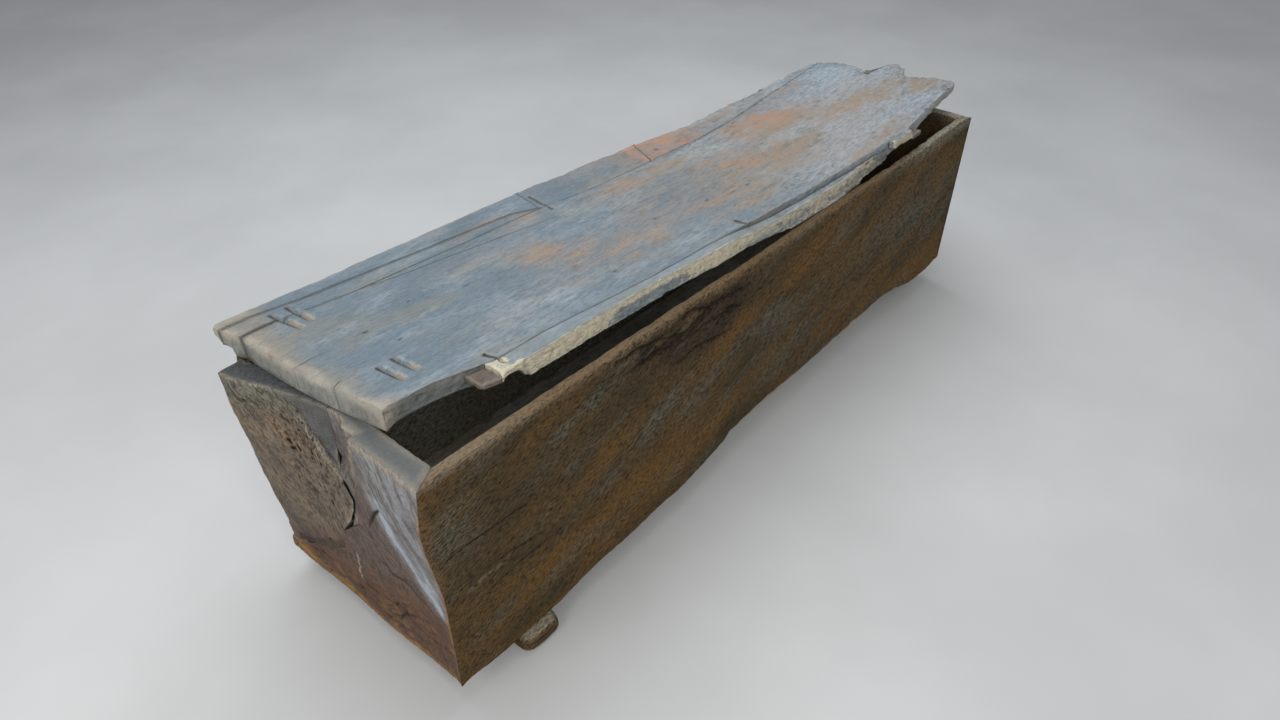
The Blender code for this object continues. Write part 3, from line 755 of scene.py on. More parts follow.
# Joints that show as dark lines: the line, its half width, its strength and where it ends
JOINT_LINES = (
    (BACK_JOINT, 0.0036, 0.85, 0.66), (WEDGE_JOINT, 0.0046, 0.9, 0.09),
    (WEDGE_JOINT, 0.0013, 0.55, 0.66), (FRONT_JOINT, 0.0012, 0.35, 1.05),
)
SLOTS = (
    ((0.086, 0.472), (0.099, 0.399)), ((0.117, 0.473), (0.122, 0.407)),
    ((0.117, 0.216), (0.125, 0.161)), ((0.146, 0.218), (0.154, 0.165)),
)
CROSS_CRACKS = (
    ((0.672, 0.47), (0.664, 0.391)), ((0.244, 0.12), (0.258, 0.073)), ((0.867, 0.082), (0.875, 0.035)),
)
LID_WARM = (
    (0.521, 0.3, 0.05, 0.035, 0.8), (0.545, 0.25, 0.08, 0.03, 0.8), (0.61, 0.205, 0.1, 0.035, 0.6),
    (0.683, 0.16, 0.09, 0.032, 0.8), (0.585, 0.395, 0.06, 0.02, 0.7), (0.509, 0.434, 0.06, 0.012, 0.7),
    (0.4, 0.365, 0.11, 0.03, 0.25), (0.46, 0.18, 0.12, 0.03, 0.2), (0.93, 0.216, 0.16, 0.06, 0.35),
    (1.12, 0.23, 0.11, 0.05, 0.8), (1.2, 0.2, 0.07, 0.04, 0.5), (1.33, 0.32, 0.13, 0.055, 0.9),
    (1.5, 0.24, 0.1, 0.05, 0.45), (1.66, 0.2, 0.14, 0.06, 0.75), (0.88, 0.35, 0.12, 0.025, 0.5),
    (0.99, 0.12, 0.12, 0.04, 0.3), (1.25, 0.13, 0.15, 0.03, 0.35), (1.8, 0.15, 0.06, 0.08, 0.5),
    (0.78, 0.25, 0.1, 0.04, 0.35), (1.02, 0.3, 0.09, 0.05, 0.5),
)
LID_PALE = (
    (1.25, 0.09, 0.18, 0.05, 0.7), (1.45, 0.14, 0.12, 0.06, 0.7), (0.42, 0.15, 0.15, 0.07, 0.35),
    (1.75, 0.3, 0.08, 0.06, 0.6), (0.72, 0.3, 0.12, 0.04, 0.4), (1.12, 0.33, 0.12, 0.05, 0.4),
    (0.8, 0.1, 0.1, 0.04, 0.4), (0.48, 0.33, 0.1, 0.03, 0.3), (1.543, 0.157, 0.12, 0.045, 0.9),
    (1.411, 0.137, 0.1, 0.04, 0.9), (1.72, 0.4, 0.08, 0.05, 0.8),
)
LID_RUST = (
    (1.388, 0.32, 0.08, 0.032, 0.55), (1.33, 0.341, 0.06, 0.025, 0.5), (1.106, 0.241, 0.07, 0.03, 0.35),
    (1.69, 0.3, 0.08, 0.03, 0.3), (1.56, 0.21, 0.06, 0.025, 0.3), (0.545, 0.25, 0.05, 0.018, 0.3),
)
LID_PITS = (
    (0.569, 0.134), (0.534, 0.201), (1.084, 0.086), (0.16, 0.314), (0.185, 0.255), (0.36, 0.3),
    (1.06, 0.09), (0.77, 0.21), (0.905, 0.18), (1.02, 0.16), (1.22, 0.26),
)
LID_CORNER = (0.062, 0.136)
LID_KNOT = (1.036, 0.427)
LID_NOISE = {
    "wavy": ((0.20, 0.06, 0.09), 11, 3),
    "grain": ((0.055, 0.010, 0.012), 21, 4),
    "flake": ((0.060, 0.020, 0.03), 31, 4, 0.1, 0.55),
    "scar": ((0.10, 0.012, 0.03), 35, 4, 0.35, 0.75),
    "fibre": ((0.02, 0.0045, 0.03), 41, 3),
    "ripple": ((0.006, 0.02, 0.02), 45, 3),
    "chips": (0.035, 47, 3, 0.1, 0.5),
    "layers": ((0.07, 0.03, 0.05), 48, 4, 0.0, 0.16),
    "lumpy": (0.013, 49, 4),
    "dent": (0.020, 50, 3, 0.25, 0.65),
    "wobble": (0.07, 51, 5),
    "broken": ((0.045, 0.012, 0.03), 55, 5, -0.45, 0.35),
    "warmer": ((0.16, 0.06, 0.1), 61, 5, -0.05, 0.55),
    "whiter": ((0.12, 0.035, 0.1), 71, 5, -0.05, 0.6),
    "slivers": ((0.030, 0.006, 0.02), 85, 4, 0.15, 0.6),
    "slivered": ((0.12, 0.06, 0.1), 86, 3, 0.0, 0.5),
    "greener": ((0.14, 0.05, 0.1), 77, 5, 0.0, 0.6),
    "darker": ((0.04, 0.008, 0.02), 81, 4, 0.3, 0.8),
    "chipped": (0.03, 91, 4, -0.4, 0.4),
    "uneven": ((0.02, 0.012, 0.02), 92, 4),
    "patchy": ((0.05, 0.035, 0.05), 93, 3, -0.15, 0.35),
}
STRIP_NOISE = {
    "fuzzy": ((0.010, 0.02, 0.0045), 15, 3),
    "hollows": (0.03, 17, 3, 0.1, 0.6),
    "creamy": (0.12, 25, 3, -0.3, 0.3),
    "uneven": (0.02, 27, 3),
}


def lid_top(x, y):
    """Height of the lid's top, which rises toward its front corner at the head end."""
    along = ease(CORNER_START, 1.0, x / BOX_LENGTH)
    across = np.clip((BOX_WIDTH - y) / BOX_WIDTH, 0, 1)
    return rim_height(x) + LID_TOP + CORNER_RISE * along * across


def slot_place(x, y, ends):
    """How far toward the head a point lies from a slot's line, and its share along the slot."""
    (ax, ay), (bx, by) = ends
    share = (ay - y) / (ay - by)
    return x - (ax + (bx - ax) * np.clip(share, 0, 1)), share


def carve_slots(piece):
    """Gives the lashing slots a steep wall toward the foot with a painted shadow, and a pale slope
    beyond it with a painted highlight.
    """
    for ends in SLOTS:
        x, y, z = piece.points.T
        side, share = slot_place(x, y, ends)
        inside = (np.abs(side) < 0.016) & (share > -0.1) & (share < 1.1)
        inside &= z > lid_top(x, y) - 0.0135
        if not inside.any():
            continue
        tapered = ease(-0.08, 0.25, share) * ease(1.06, 0.85, share)
        slope = 1 - ease(-0.0026, 0.010, side)
        floor = lid_top(x, y) - 0.0085 * ease(-0.0058, -0.0036, side) * slope * tapered
        piece.points[inside, 2] = floor[inside]
        # A painted shadow along the steep wall, reaching onto the top beside the drop, and a painted
        # highlight (lit) on the slope beyond it
        steep = bell(side + 0.0050, 0.0030) * ease(-0.12, 0.05, share) * ease(1.05, 0.60, share)
        lit = ease(-0.002, 0.0005, side) * ease(0.0100, 0.005, side) * tapered
        piece.tint(inside, line=1.6 * steep, wear=1.1 * lit * ease(0.3, 0.7, share), pale=0.4 * lit)
    piece.normals = point_normals(piece.points, piece.faces)


def near_slots(points):
    x, y, _ = points.T
    close = np.zeros(len(points))
    for ends in SLOTS + CROSS_CRACKS:
        side, share = slot_place(x, y, ends)
        close = np.maximum(close, (np.abs(side) < 0.014) & (share > -0.12) & (share < 1.12))
    return close


def lid_masks(piece):
    """The lid's noises, which way its faces look, and its places."""
    m = patterns((piece.points, LID_NOISE))
    m.x, m.y, _ = piece.points.T
    m.top = piece.facing(2, 1, 0.5)
    m.foot_face = piece.facing(0, -1, 0.5) * ease(0.10, 0.04, m.x)
    m.steep = 1 - ease(0.3, 0.8, np.abs(piece.normals[:, 2]))
    m.side = m.steep * (1 - m.foot_face)
    m.rough = 0.15 + 0.85 * ease(0.55, 1.1, m.x)
    m.quiet = 1 - near_slots(piece.points) * (m.x < 0.2)
    m.broken = 0.45 + 0.75 * m.broken
    m.splintered = m.slivers * ease(0.8, 1.2, m.x)
    m.raw = m.side * ease(0.27, 0.24, m.x) * ease(0.16, 0.135, m.y)
    return m


def lid_relief(piece, m, old, chipped_by):
    """Long grain and flakes, rougher toward the head end, chips, lost layers and pits with painted
    shade.
    """
    at_head = ease(1.35, 1.7, m.x) * m.top
    loose = ease(0.002, 0.008, piece.joint_away)
    grain = 0.0004 * (1 + m.grain) * (0.4 + 1.1 * m.rough) * old
    flakes = (0.0020 * m.flake + 0.0022 * m.scar) * m.rough * m.top
    piece.push(m.quiet * (0.0003 + 0.0009 * (1 + m.wavy) * (0.5 + m.rough) + grain + flakes))
    piece.push(0.0008 * (1 + m.fibre) * m.foot_face + 0.0007 * (1 + m.ripple) * m.side)
    chips = m.chips * bell(piece.arris_away, 0.010) * (0.25 + 1.6 * ease(1.2, 1.6, m.x))
    piece.push(0.0035 * chips * loose * chipped_by)
    layers = m.layers * ease(0.024, 0.010, piece.arris_away) * chipped_by
    piece.push(0.0045 * layers * at_head * loose)
    piece.push(m.raw * (0.0012 * (1 + m.lumpy) + 0.0030 * m.dent))
    piece.push(0.0012 * m.splintered * m.top)
    piece.tint(m.raw, dark=0.5 * m.dent + 0.5 * ease(0.1, 0.6, m.lumpy))
    piece.tint(at_head, dark=0.4 * layers * (1 - layers) * 4)
    # Pits, with painted shade in them
    for centre in LID_PITS:
        deep = spot(m.x, m.y, centre, (0.0065, 0.003)) * m.top
        piece.push(0.0022 * deep)
        piece.tint(deep, hollow=0.8)


def lid_stains(piece, m):
    """Stains in their places, warmer and whiter patches, and a dull foot end."""
    wobble = 0.020 * m.wobble
    spots = {"warm": LID_WARM, "pale": LID_PALE, "red": LID_RUST}
    piece.stain(m.x + wobble * 2.4, m.y + wobble, m.broken * m.top, **spots)
    at_head = ease(0.85, 1.3, m.x)
    at_foot = ease(0.10, 0.03, m.x + wobble * 1.6)
    front = ease(1.30, 1.50, m.x) * ease(0.42, 0.30, m.y)
    piece.tint(
        m.top,
        warm=0.60 * m.warmer * ease(0.6, 1.0, m.x) * m.broken + 0.25 * at_foot * m.broken
        + 0.25 * at_head * ease(1.7, 1.4, m.x),
        pale=0.45 * at_head + 0.35 * front + (0.30 + 0.5 * at_head) * m.whiter,
        green=0.50 * m.greener + 0.8 * at_foot,
        dark=0.65 * m.splintered * m.slivered
        + (0.40 * m.darker + 0.45 * m.flake * ease(0.2, 0.7, m.scar)) * m.rough,
    )
    piece.fade(at_foot, pale=0.8)


def lid_edges(piece, m):
    """Worn arrises with a painted highlight on lit faces, a pale lip along the foot end, painted shade
    on the sides, the undersides and in inward corners, and the joints' lines.
    """
    open_edge = ease(0.001, 0.006, piece.joint_away) * m.quiet
    lit = np.clip(0.35 * m.top + 0.65 * m.foot_face + 0.3 * m.steep, 0, 1)
    edge = bell(piece.arris_away, 0.0075) * open_edge
    lip = ease(0.022, 0.006, piece.arris_away + 0.006 * m.uneven) * open_edge
    lip = lip * ease(0.075, 0.05, m.x) * (piece.points[:, 2] > rim_height(m.x) + 0.022)
    # Arris wear, weighted by how lit each face is: wear and a painted highlight
    piece.tint(edge * lit, wear=0.25 + 0.75 * m.chipped)
    rusty = m.patchy * ease(0.014, 0.004, piece.arris_away)
    piece.tint(lip, wear=0.55 * (0.3 + 0.7 * m.chipped), red=0.40 * rusty)
    piece.tint(spot(m.x, m.y, LID_CORNER, (0.022, 0.018)), wear=0.6, red=0.3)
    head_face = piece.facing(0, 1) * ease(1.5, 1.7, m.x)
    # Painted shade on the sides toward the foot end
    dull = 0.30 * (1 - head_face) * ease(0.5, 0.3, m.x)
    piece.tint(m.side, dark=dull, wear=0.45 * ease(1.4, 1.6, m.x), green=0.6)
    ends = {"wear": 0.25 * ease(-0.5, 0.5, m.fibre), "dark": 0.50 * ease(0.0, 0.5, -m.fibre)}
    piece.tint(m.foot_face, green=0.75, **ends)
    # Painted shade on the faces that look down
    piece.tint(piece.facing(2, -1, 0.2, 0.7), dark=0.35)
    for line, width, strength, end in JOINT_LINES:
        away, _ = line_distance(m.x, m.y, line)
        shown = ease(end + 0.02, end, m.x) * np.clip(m.top + m.foot_face, 0, 1)
        piece.tint(shown, line=strength * bell(away, width))
    # Painted shade in the inward corners
    piece.tint(m.quiet, hollow=0.35 * bell(piece.hollow_away, 0.004))


def lid_surface(piece, old=1.0, chipped_by=1.0):
    """Weathering of the lid's boards, with painted highlights and painted shade."""
    m = lid_masks(piece)
    lid_relief(piece, m, old, chipped_by)
    lid_stains(piece, m)
    lid_edges(piece, m)


def lid_target(near=0.0096, far=0.0118, under=0.040):
    """Edge lengths for the lid: near the foot end, far from it, and on hidden lower faces."""

    def coarse(points):
        x, y, z = points.T
        wanted = near + (far - near) * ease(0.3, 1.0, x)
        wanted = np.where(near_slots(points) > 0, 0.0027, wanted)
        broken_face = (x < 0.26) & (y < 0.142) & (z < rim_height(x) + LID_TOP - 0.002)
        wanted = np.where(broken_face, 0.0046, wanted)
        return np.where(z < rim_height(x) + 0.010, under, wanted)

    return coarse


def make_main_plank():
    main = Piece("lid_main_plank", graded(lid_target(), LID_CRACKS, fine=0.0026), 0.007)
    foot_zone = 0.55 + 0.45 * ease(0.12, 0.06, main.points[:, 0])
    main.wear(0.014, 18, low=0.45, zone=foot_zone * (1 - near_slots(main.points)))
    lid_surface(main)
    carve_slots(main)
    # A painted highlight: the plank's front step face toward the head loses its dark and green and is
    # painted pale, against its shade
    step = main.facing(1, -1, 0.3, 0.8) * ease(0.9, 1.2, main.points[:, 0])
    main.fade(step, dark=0.7, green=1.0)
    main.tint(step, pale=0.9)
    shown = np.clip(main.facing(2, 1, 0.3, 0.8) + 0.6 * main.facing(0, -1, 0.5), 0, 1)
    main.crack(LID_CRACKS, (0, 1), 0.0009, 0.0016, 0.8 * shown)
    main.finish(LID)


def make_wedge():
    wedge = Piece("lid_wedge_plank", graded(lid_target(near=0.0066, far=0.0070)), 0.007)
    wedge.wear(0.012, 14, low=0.45, zone=1 - near_slots(wedge.points))
    lid_surface(wedge)
    carve_slots(wedge)
    wedge.finish(LID)


def make_back_strip(name):
    strip = Piece(name, graded(lid_target(near=0.0066, far=0.0076)), 0.005)
    strip.wear(0.009, 9)
    lid_surface(strip)
    x, y, _ = strip.points.T
    top = strip.facing(2, 1)
    glow = ease(0.955, 0.985, x) * ease(1.20, 1.10, x)
    glow = glow * (0.6 + 0.5 * ease(-0.4, 0.3, fbm(strip.points, 0.04, 5, 3)))
    strip.tint(top, red=0.85 * glow, warm=0.5 * ease(0.86, 0.95, x) * ease(1.0, 0.95, x))
    knot = spot(x, y, LID_KNOT, (0.006, 0.005)) * top
    strip.push(0.0025 * knot)
    strip.tint(knot, line=1.0)
    tip = ease(0.03, -0.03, x)
    strip.tint(1.0, green=0.6 * ease(0.10, 0.02, x), warm=0.35 * tip, wear=0.3 * ease(0.02, -0.03, x))
    strip.finish(LID)


def make_front_strip(name):
    strip = Piece(name, graded(lid_target(near=0.0044, far=0.0052, under=0.009)))
    x = strip.points[:, 0]
    strip.wear(0.011, 14, low=0.5, zone=0.6 + 0.4 * ease(0.29, 0.26, x))
    strip.wear(0.024, 34, low=0.9, zone=ease(0.285, 0.262, x))
    lid_surface(strip, old=1.3, chipped_by=0.3)
    m = patterns((strip.points, STRIP_NOISE))
    x, y, z = strip.points.T
    outer = strip.facing(1, -1, 0.15, 0.7)
    strip.push((0.0009 * (1 + m.fuzzy) + 0.0018 * m.hollows) * outer)
    depth = lid_top(x, y) - z
    cream = 0.15 + 0.85 * ease(0.50, 0.44, x)
    cream = np.maximum(cream, ease(0.62, 0.68, x) * (0.65 + 0.35 * m.creamy))
    lower = ease(0.033, 0.018, depth + 0.006 * m.uneven)
    strip.fade(outer, dark=1.0, green=0.6)
    strip.tint(outer, wear=cream * (0.5 + 0.5 * lower), warm=0.45 * ease(0.9, 1.1, x))
    strip.tint(strip.facing(1, -1, 0.02, 0.35), wear=0.9 * ease(0.016, 0.006, depth))
    strip.tint(1.0, wear=0.5 * ease(0.265, 0.245, x))
    strip.finish(STRIP)


def make_tenon(name):
    tenon = Piece(name, even(0.0025))
    tenon.wear(0.009, 12, low=0.8)
    tenon.push(0.0004 * (1 + fbm(tenon.points, (0.02, 0.004, 0.004), 7, 3)))
    tenon.tint(0.2, wear=bell(tenon.arris_away, 0.003))
    tenon.finish(TENON)


# Long sides. Lines and places are x and z.

SIDE_TILT = math.radians(16)  # the tool marks rise this much toward the head
SIDE_CRACKS = (
    ((0.096, 0.283), (0.14, 0.277), (0.18, 0.268), (0.228, 0.262)),
    ((0.02, 0.362), (0.08, 0.362), (0.15, 0.356), (0.215, 0.35)),
    ((0.09, 0.225), (0.17, 0.235), (0.26, 0.232)),
)
TORN_CRACKS = (
    ((0.416, 0.51), (0.451, 0.502), (0.482, 0.505), (0.508, 0.494), (0.547, 0.486), (0.598, 0.47)),
    ((0.444, 0.471), (0.481, 0.467), (0.519, 0.466), (0.564, 0.458), (0.592, 0.459), (0.604, 0.467)),
    ((0.591, 0.505), (0.638, 0.502), (0.681, 0.483), (0.732, 0.48), (0.778, 0.474), (0.798, 0.469)),
    ((0.68, 0.45), (0.715, 0.447), (0.768, 0.442), (0.795, 0.433)),
    ((0.57, 0.413), (0.606, 0.405), (0.642, 0.413), (0.692, 0.403), (0.752, 0.393)),
)
SIDE_GREEN = (
    (0.305, 0.446, 0.022, 0.012, 0.8), (0.559, 0.325, 0.06, 0.028, 0.75),
    (0.66, 0.297, 0.06, 0.022, 0.6), (0.393, 0.254, 0.05, 0.02, 0.6), (0.063, 0.385, 0.05, 0.06, 0.55),
    (0.506, 0.298, 0.04, 0.03, 0.5), (0.867, 0.328, 0.09, 0.03, 0.45), (0.24, 0.4, 0.06, 0.02, 0.4),
    (1.45, 0.34, 0.2, 0.07, 0.45), (1.6, 0.3, 0.12, 0.08, 0.35), (0.13, 0.5, 0.05, 0.015, 0.6),
    (0.378, 0.456, 0.02, 0.015, 0.5),
)
SIDE_WARM = (
    (0.254, 0.159, 0.09, 0.04, 0.7), (0.369, 0.299, 0.06, 0.03, 0.45), (1.088, 0.46, 0.11, 0.04, 0.75),
    (1.0, 0.42, 0.08, 0.04, 0.5), (0.788, 0.373, 0.1, 0.04, 0.4), (0.053, 0.437, 0.04, 0.02, 0.7),
    (0.47, 0.18, 0.12, 0.03, 0.6), (0.18, 0.32, 0.08, 0.02, 0.4), (0.65, 0.15, 0.15, 0.03, 0.6),
    (1.2, 0.33, 0.1, 0.05, 0.4), (1.7, 0.4, 0.04, 0.08, 0.7), (0.1, 0.18, 0.08, 0.03, 0.4),
)
# The first four dark places are the torn patch
SIDE_DARK = (
    (0.45, 0.49, 0.05, 0.02, 0.7), (0.53, 0.48, 0.06, 0.028, 0.8), (0.63, 0.47, 0.08, 0.036, 1.0),
    (0.74, 0.455, 0.065, 0.04, 1.0), (0.26, 0.38, 0.12, 0.05, 0.35), (0.65, 0.42, 0.06, 0.05, 0.55),
    (0.95, 0.475, 0.07, 0.02, 0.5), (1.58, 0.416, 0.018, 0.008, 0.8), (1.292, 0.436, 0.016, 0.01, 0.8),
    (1.56, 0.38, 0.012, 0.02, 0.6),
)
TORN_PLACES = SIDE_DARK[:4]
SIDE_HOLE = (0.105, 0.470)
SIDE_GOUGE = ((0.060, 0.259), (0.090, 0.264), (0.128, 0.262))
SIDE_FOOT = 0.048  # height of the lower edge near the foot end
SIDE_FOOT_RISE = 0.10  # and how much it is worn up toward the head end
# Noises along the tool marks, and those that don't follow them
MARKS_NOISE = {
    "marks": ((0.026, 0.02, 0.0085), 12, 3),
    "wide": ((0.20, 0.2, 0.06), 22, 4),
    "fibre": ((0.07, 0.02, 0.018), 32, 4),
    "torn": ((0.05, 0.02, 0.012), 42, 4, -0.2, 0.6),
    "crevice": ((0.045, 0.02, 0.010), 43, 4),
    "wobble": ((0.08, 0.05, 0.03), 62, 4),
    "warmer": ((0.20, 0.1, 0.04), 72, 5, -0.1, 0.6),
    "greener": ((0.14, 0.1, 0.035), 82, 5, 0.05, 0.6),
    "darker": ((0.14, 0.1, 0.035), 92, 5, 0.1, 0.8),
}
SIDE_NOISE = {
    "ragged": (0.02, 14, 4),
    "top_grain": ((0.06, 0.01, 0.01), 52, 3),
    "notch": (0.05, 54, 3, 0.2, 0.6),
}
BACK_SIDE_NOISE = {
    "fibre": ((0.05, 0.05, 0.012), 33, 3),
    "warmer": ((0.3, 0.1, 0.05), 73, 5, 0.0, 0.6),
    "greener": ((0.25, 0.1, 0.05), 83, 5, 0.0, 0.6),
    "darker": ((0.2, 0.1, 0.03), 93, 5, 0.1, 0.7),
}


def side_along(points):
    """Coordinates turned so that the first runs along the side's tool marks."""
    return turned_by(points, 0, 2, SIDE_TILT)


def side_target(points):
    x, y, z = points.T
    inside = (y > 0.010) & (z < rim_height(x) - 0.006)
    return np.where(inside, 0.036, 0.0055 + 0.0024 * ease(0.3, 1.0, x))


def side_masks(side):
    """The front side's noises, which way its faces look, and its torn patch."""
    m = patterns((side_along(side.points), MARKS_NOISE), (side.points, SIDE_NOISE))
    m.x, m.y, m.z = side.points.T
    m.outer = side.facing(1, -1, 0.3, 0.8)
    m.top = side.facing(2, 1)
    m.patch = np.zeros(len(m.x))
    for cx, cz, rx, rz, strength in TORN_PLACES:
        m.patch = np.maximum(m.patch, strength * spot(m.x, m.z, (cx, cz), (rx, rz), 8))
    m.in_patch = ease(0.25, 0.7, m.patch) * m.outer
    return m


def side_relief(side, m):
    """Tool marks and fibres, the torn patch, notches in the edges, a hole with painted shade in it and
    a gouge.
    """
    held = 0.4 + 0.6 * ease(0.004, 0.03, m.x)
    bumpy = 0.45 + 0.55 * ease(0.9, 1.5, m.x)
    relief = (0.0009 * (0.8 + m.marks) + 0.0009 * (0.8 + m.fibre)) * bumpy + 0.0011 * (0.8 + m.wide)
    side.push(m.outer * held * np.maximum(relief + 0.0055 * m.patch * m.torn, 0))
    side.push(m.top * 0.0008 * (1 + m.top_grain))
    side.push(0.003 * m.notch * bell(side.arris_away, 0.01) * ease(0.9, 1.5, m.x))
    hole = spot(m.x, m.z, SIDE_HOLE, (0.0045, 0.004)) * m.outer
    gouge = bell(line_distance(m.x, m.z, SIDE_GOUGE)[0], 0.0035) * m.outer
    side.push(0.006 * hole + 0.003 * gouge)
    # Painted shade in the hole
    side.tint(hole, line=1.0)
    side.tint(gouge, pale=0.35)


def torn_patch(side, m):
    """Painted shade in the torn patch's crevices and a painted highlight on its ridges, over the
    patch's own dark colour.
    """
    crevice = ease(-0.1, 0.35, m.crevice)
    ridges = ease(0.10, -0.35, m.crevice) * ease(0.75, 0.60, m.x)
    side.push(0.0045 * m.in_patch * crevice)
    side.tint(m.outer, dark=1.2 * m.patch * (0.5 + 0.5 * m.torn))
    # The crevices get painted shade; the ridges a painted highlight and less dark
    side.tint(m.in_patch, line=0.9 * crevice, wear=0.35 * ridges)
    side.fade(ease(0.25, 0.7, m.patch) * ridges, dark=0.7)


def side_rim(side, m):
    """A worn rim, grey toward the head end, and a warm corner at the foot end."""
    ragged = 0.004 * m.ragged
    shown = np.clip(m.outer + m.top, 0, 1)
    rim = rim_height(m.x) - m.z
    band = ease(0.021, 0.002, rim + ragged)
    worn = 0.75 - 0.35 * ease(0.3, 0.9, m.x)
    pale = 0.55 * ease(0.30, 0.10, m.x)
    side.tint(band * shown * ease(0.03, 0.02, m.y), wear=worn, pale=pale)
    grey = ease(0.045, 0.010, rim + 2 * ragged) * ease(1.30, 1.60, m.x) * shown
    side.fade(grey, warm=0.7, wear=0.6)
    side.tint(grey, pale=0.75 * (0.55 + 0.45 * m.top))
    corner = ease(0.026, 0.006, m.x + ragged * 1.5) * ease(0.06, 0.16, m.z)
    corner = corner * (side.normals[:, 0] < 0.5)
    side.fade(np.maximum(corner, band), dark=0.8)
    side.fade(corner, green=0.8)
    side.tint(corner, warm=0.95, wear=0.40)


def make_front_side():
    lines = SIDE_CRACKS + TORN_CRACKS
    side = Piece("front_side_board", graded(side_target, lines, (0, 2), 0.0024))
    side.wear(0.008, 8, low=0.35, zone=0.45 + 0.55 * ease(0.01, 0.05, side.points[:, 0]))
    m = side_masks(side)
    side_relief(side, m)
    wobble = 0.012 * m.wobble
    spots = {"green": SIDE_GREEN, "warm": SIDE_WARM, "dark": SIDE_DARK}
    side.stain(m.x + wobble * 2, m.z + wobble, m.outer, turn=12, **spots)
    torn_patch(side, m)
    side.tint(m.outer, warm=0.55 * m.warmer, green=0.45 * m.greener, dark=0.35 * m.darker)
    lower_edge = SIDE_FOOT + SIDE_FOOT_RISE * ease(0.9, 1.8, m.x)
    side.tint(m.outer, warm=0.7 * ease(0.03, 0.0, m.z - lower_edge))
    side_rim(side, m)
    # The faces inside the box are painted pale: painted light where the box lies in shade
    side.tint((1 - m.outer) * (1 - m.top), pale=ease(0.012, 0.02, m.y))
    side.crack(SIDE_CRACKS, (0, 2), 0.0014, 0.0030, m.outer)
    side.crack(TORN_CRACKS, (0, 2), 0.0028, 0.0050, m.outer)
    side.finish(SIDE)


def make_back_side():
    side = Piece("back_side_board", lambda points: np.where(points[:, 1] < 0.488, 0.036, 0.016))
    side.wear(0.008, 4)
    m = patterns((side_along(side.points), BACK_SIDE_NOISE))
    y = side.points[:, 1]
    wide = fbm(side.points, (0.25, 0.1, 0.05), 23, 4)
    side.push(0.0006 + 0.0012 * (1 + wide) + 0.0005 * (1 + m.fibre))
    side.tint(0.5, warm=m.warmer, green=m.greener, dark=m.darker)
    # Worn arrises, and the inner face painted pale: painted light where the box lies in shade
    side.tint(1.0, wear=0.7 * bell(side.arris_away, 0.009), pale=0.8 * ease(0.488, 0.484, y))
    side.finish(SIDE)


# Ends. Lines and places are y and z.

GRAIN_TILT = math.radians(28)  # the foot end's grain, from upright
END_CRACKS = (
    ((0.115, 0.417), (0.14, 0.388), (0.172, 0.335)),
    ((0.459, 0.098), (0.413, 0.098), (0.362, 0.116), (0.322, 0.117), (0.284, 0.121), (0.262, 0.137)),
    ((0.265, 0.129), (0.217, 0.136), (0.177, 0.142), (0.156, 0.143), (0.13, 0.138), (0.095, 0.164)),
    ((0.173, 0.258), (0.149, 0.256), (0.141, 0.241), (0.108, 0.246), (0.086, 0.231), (0.047, 0.213)),
    ((0.184, 0.118), (0.15, 0.154), (0.127, 0.146), (0.155, 0.11), (0.181, 0.101), (0.184, 0.118)),
    ((0.13, 0.138), (0.08, 0.122), (0.044, 0.122)),
    ((0.33, 0.082), (0.25, 0.092), (0.18, 0.082), (0.1, 0.095)),
)
# A crack whose edge is painted pale as a highlight
CRACK_HIGHLIGHT = ((0.244, 0.215), (0.246, 0.182), (0.257, 0.142))
PALE_STREAK = ((0.118, 0.425), (0.100, 0.370), (0.062, 0.305), (0.021, 0.239))
STREAK_SLOPE = 0.53  # how far the streak runs toward the front for each metre down
END_FOOT = 0.052  # the foot end's lower edge is warm up to just above this height
END_FOOT_CORNER = (0.465, 0.085)
# The lump under the slab ends below along this line: distance from the front, height
LUMP_PLACES = (0.262, 0.284, 0.322, 0.362, 0.413, 0.459)
LUMP_HEIGHTS = (0.137, 0.121, 0.117, 0.116, 0.098, 0.098)
# The right edge of the slab's face layer: share of the foot end's height, share of the box's width
SLAB_EDGE_SHARES = (0.455, 0.567, 0.628, 0.690, 0.751, 0.824, 0.910, 1.0)
SLAB_EDGE_PLACES = (0.524, 0.444, 0.410, 0.392, 0.424, 0.534, 0.612, 0.678)
SLAB_SPLIT = 0.497  # share of the width where the slab's full thickness starts
RECESS_DEPTH = 0.022
# Noises along the end's grain, and those that don't follow it
END_GRAIN_NOISE = {
    "fibre": ((0.02, 0.0065, 0.05), 13, 4),
    "wide": ((0.1, 0.03, 0.12), 23, 3),
    "lump": ((0.06, 0.022, 0.04), 33, 4),
    "broken": ((0.1, 0.007, 0.045), 53, 4, -0.5, 0.5),
    "mottled": ((0.02, 0.010, 0.018), 55, 4, -0.35, 0.45),
    "darker": ((0.1, 0.010, 0.05), 73, 4, 0.15, 0.7),
    "warmer": ((0.1, 0.02, 0.06), 83, 4, 0.1, 0.7),
}
END_NOISE = {
    "ridge": ((0.05, 0.075, 0.016), 35, 4),
    "top_grain": ((0.02, 0.05, 0.02), 43, 3),
}


def end_along(points):
    """Coordinates turned so that the last runs along the foot end's grain."""
    return turned_by(points, 2, 1, GRAIN_TILT)


def slab_edge(z):
    """How far from the front face the right edge of the slab's face layer lies at a height."""
    share = (z - FLOOR_LEVEL) / (FOOT_RIM - FLOOR_LEVEL)
    return BOX_WIDTH * np.interp(share, SLAB_EDGE_SHARES, SLAB_EDGE_PLACES)


def end_target(points):
    x, _, z = points.T
    return np.where((x > 0.026) & (z < rim_height(x) - 0.004), 0.024, 0.0046)


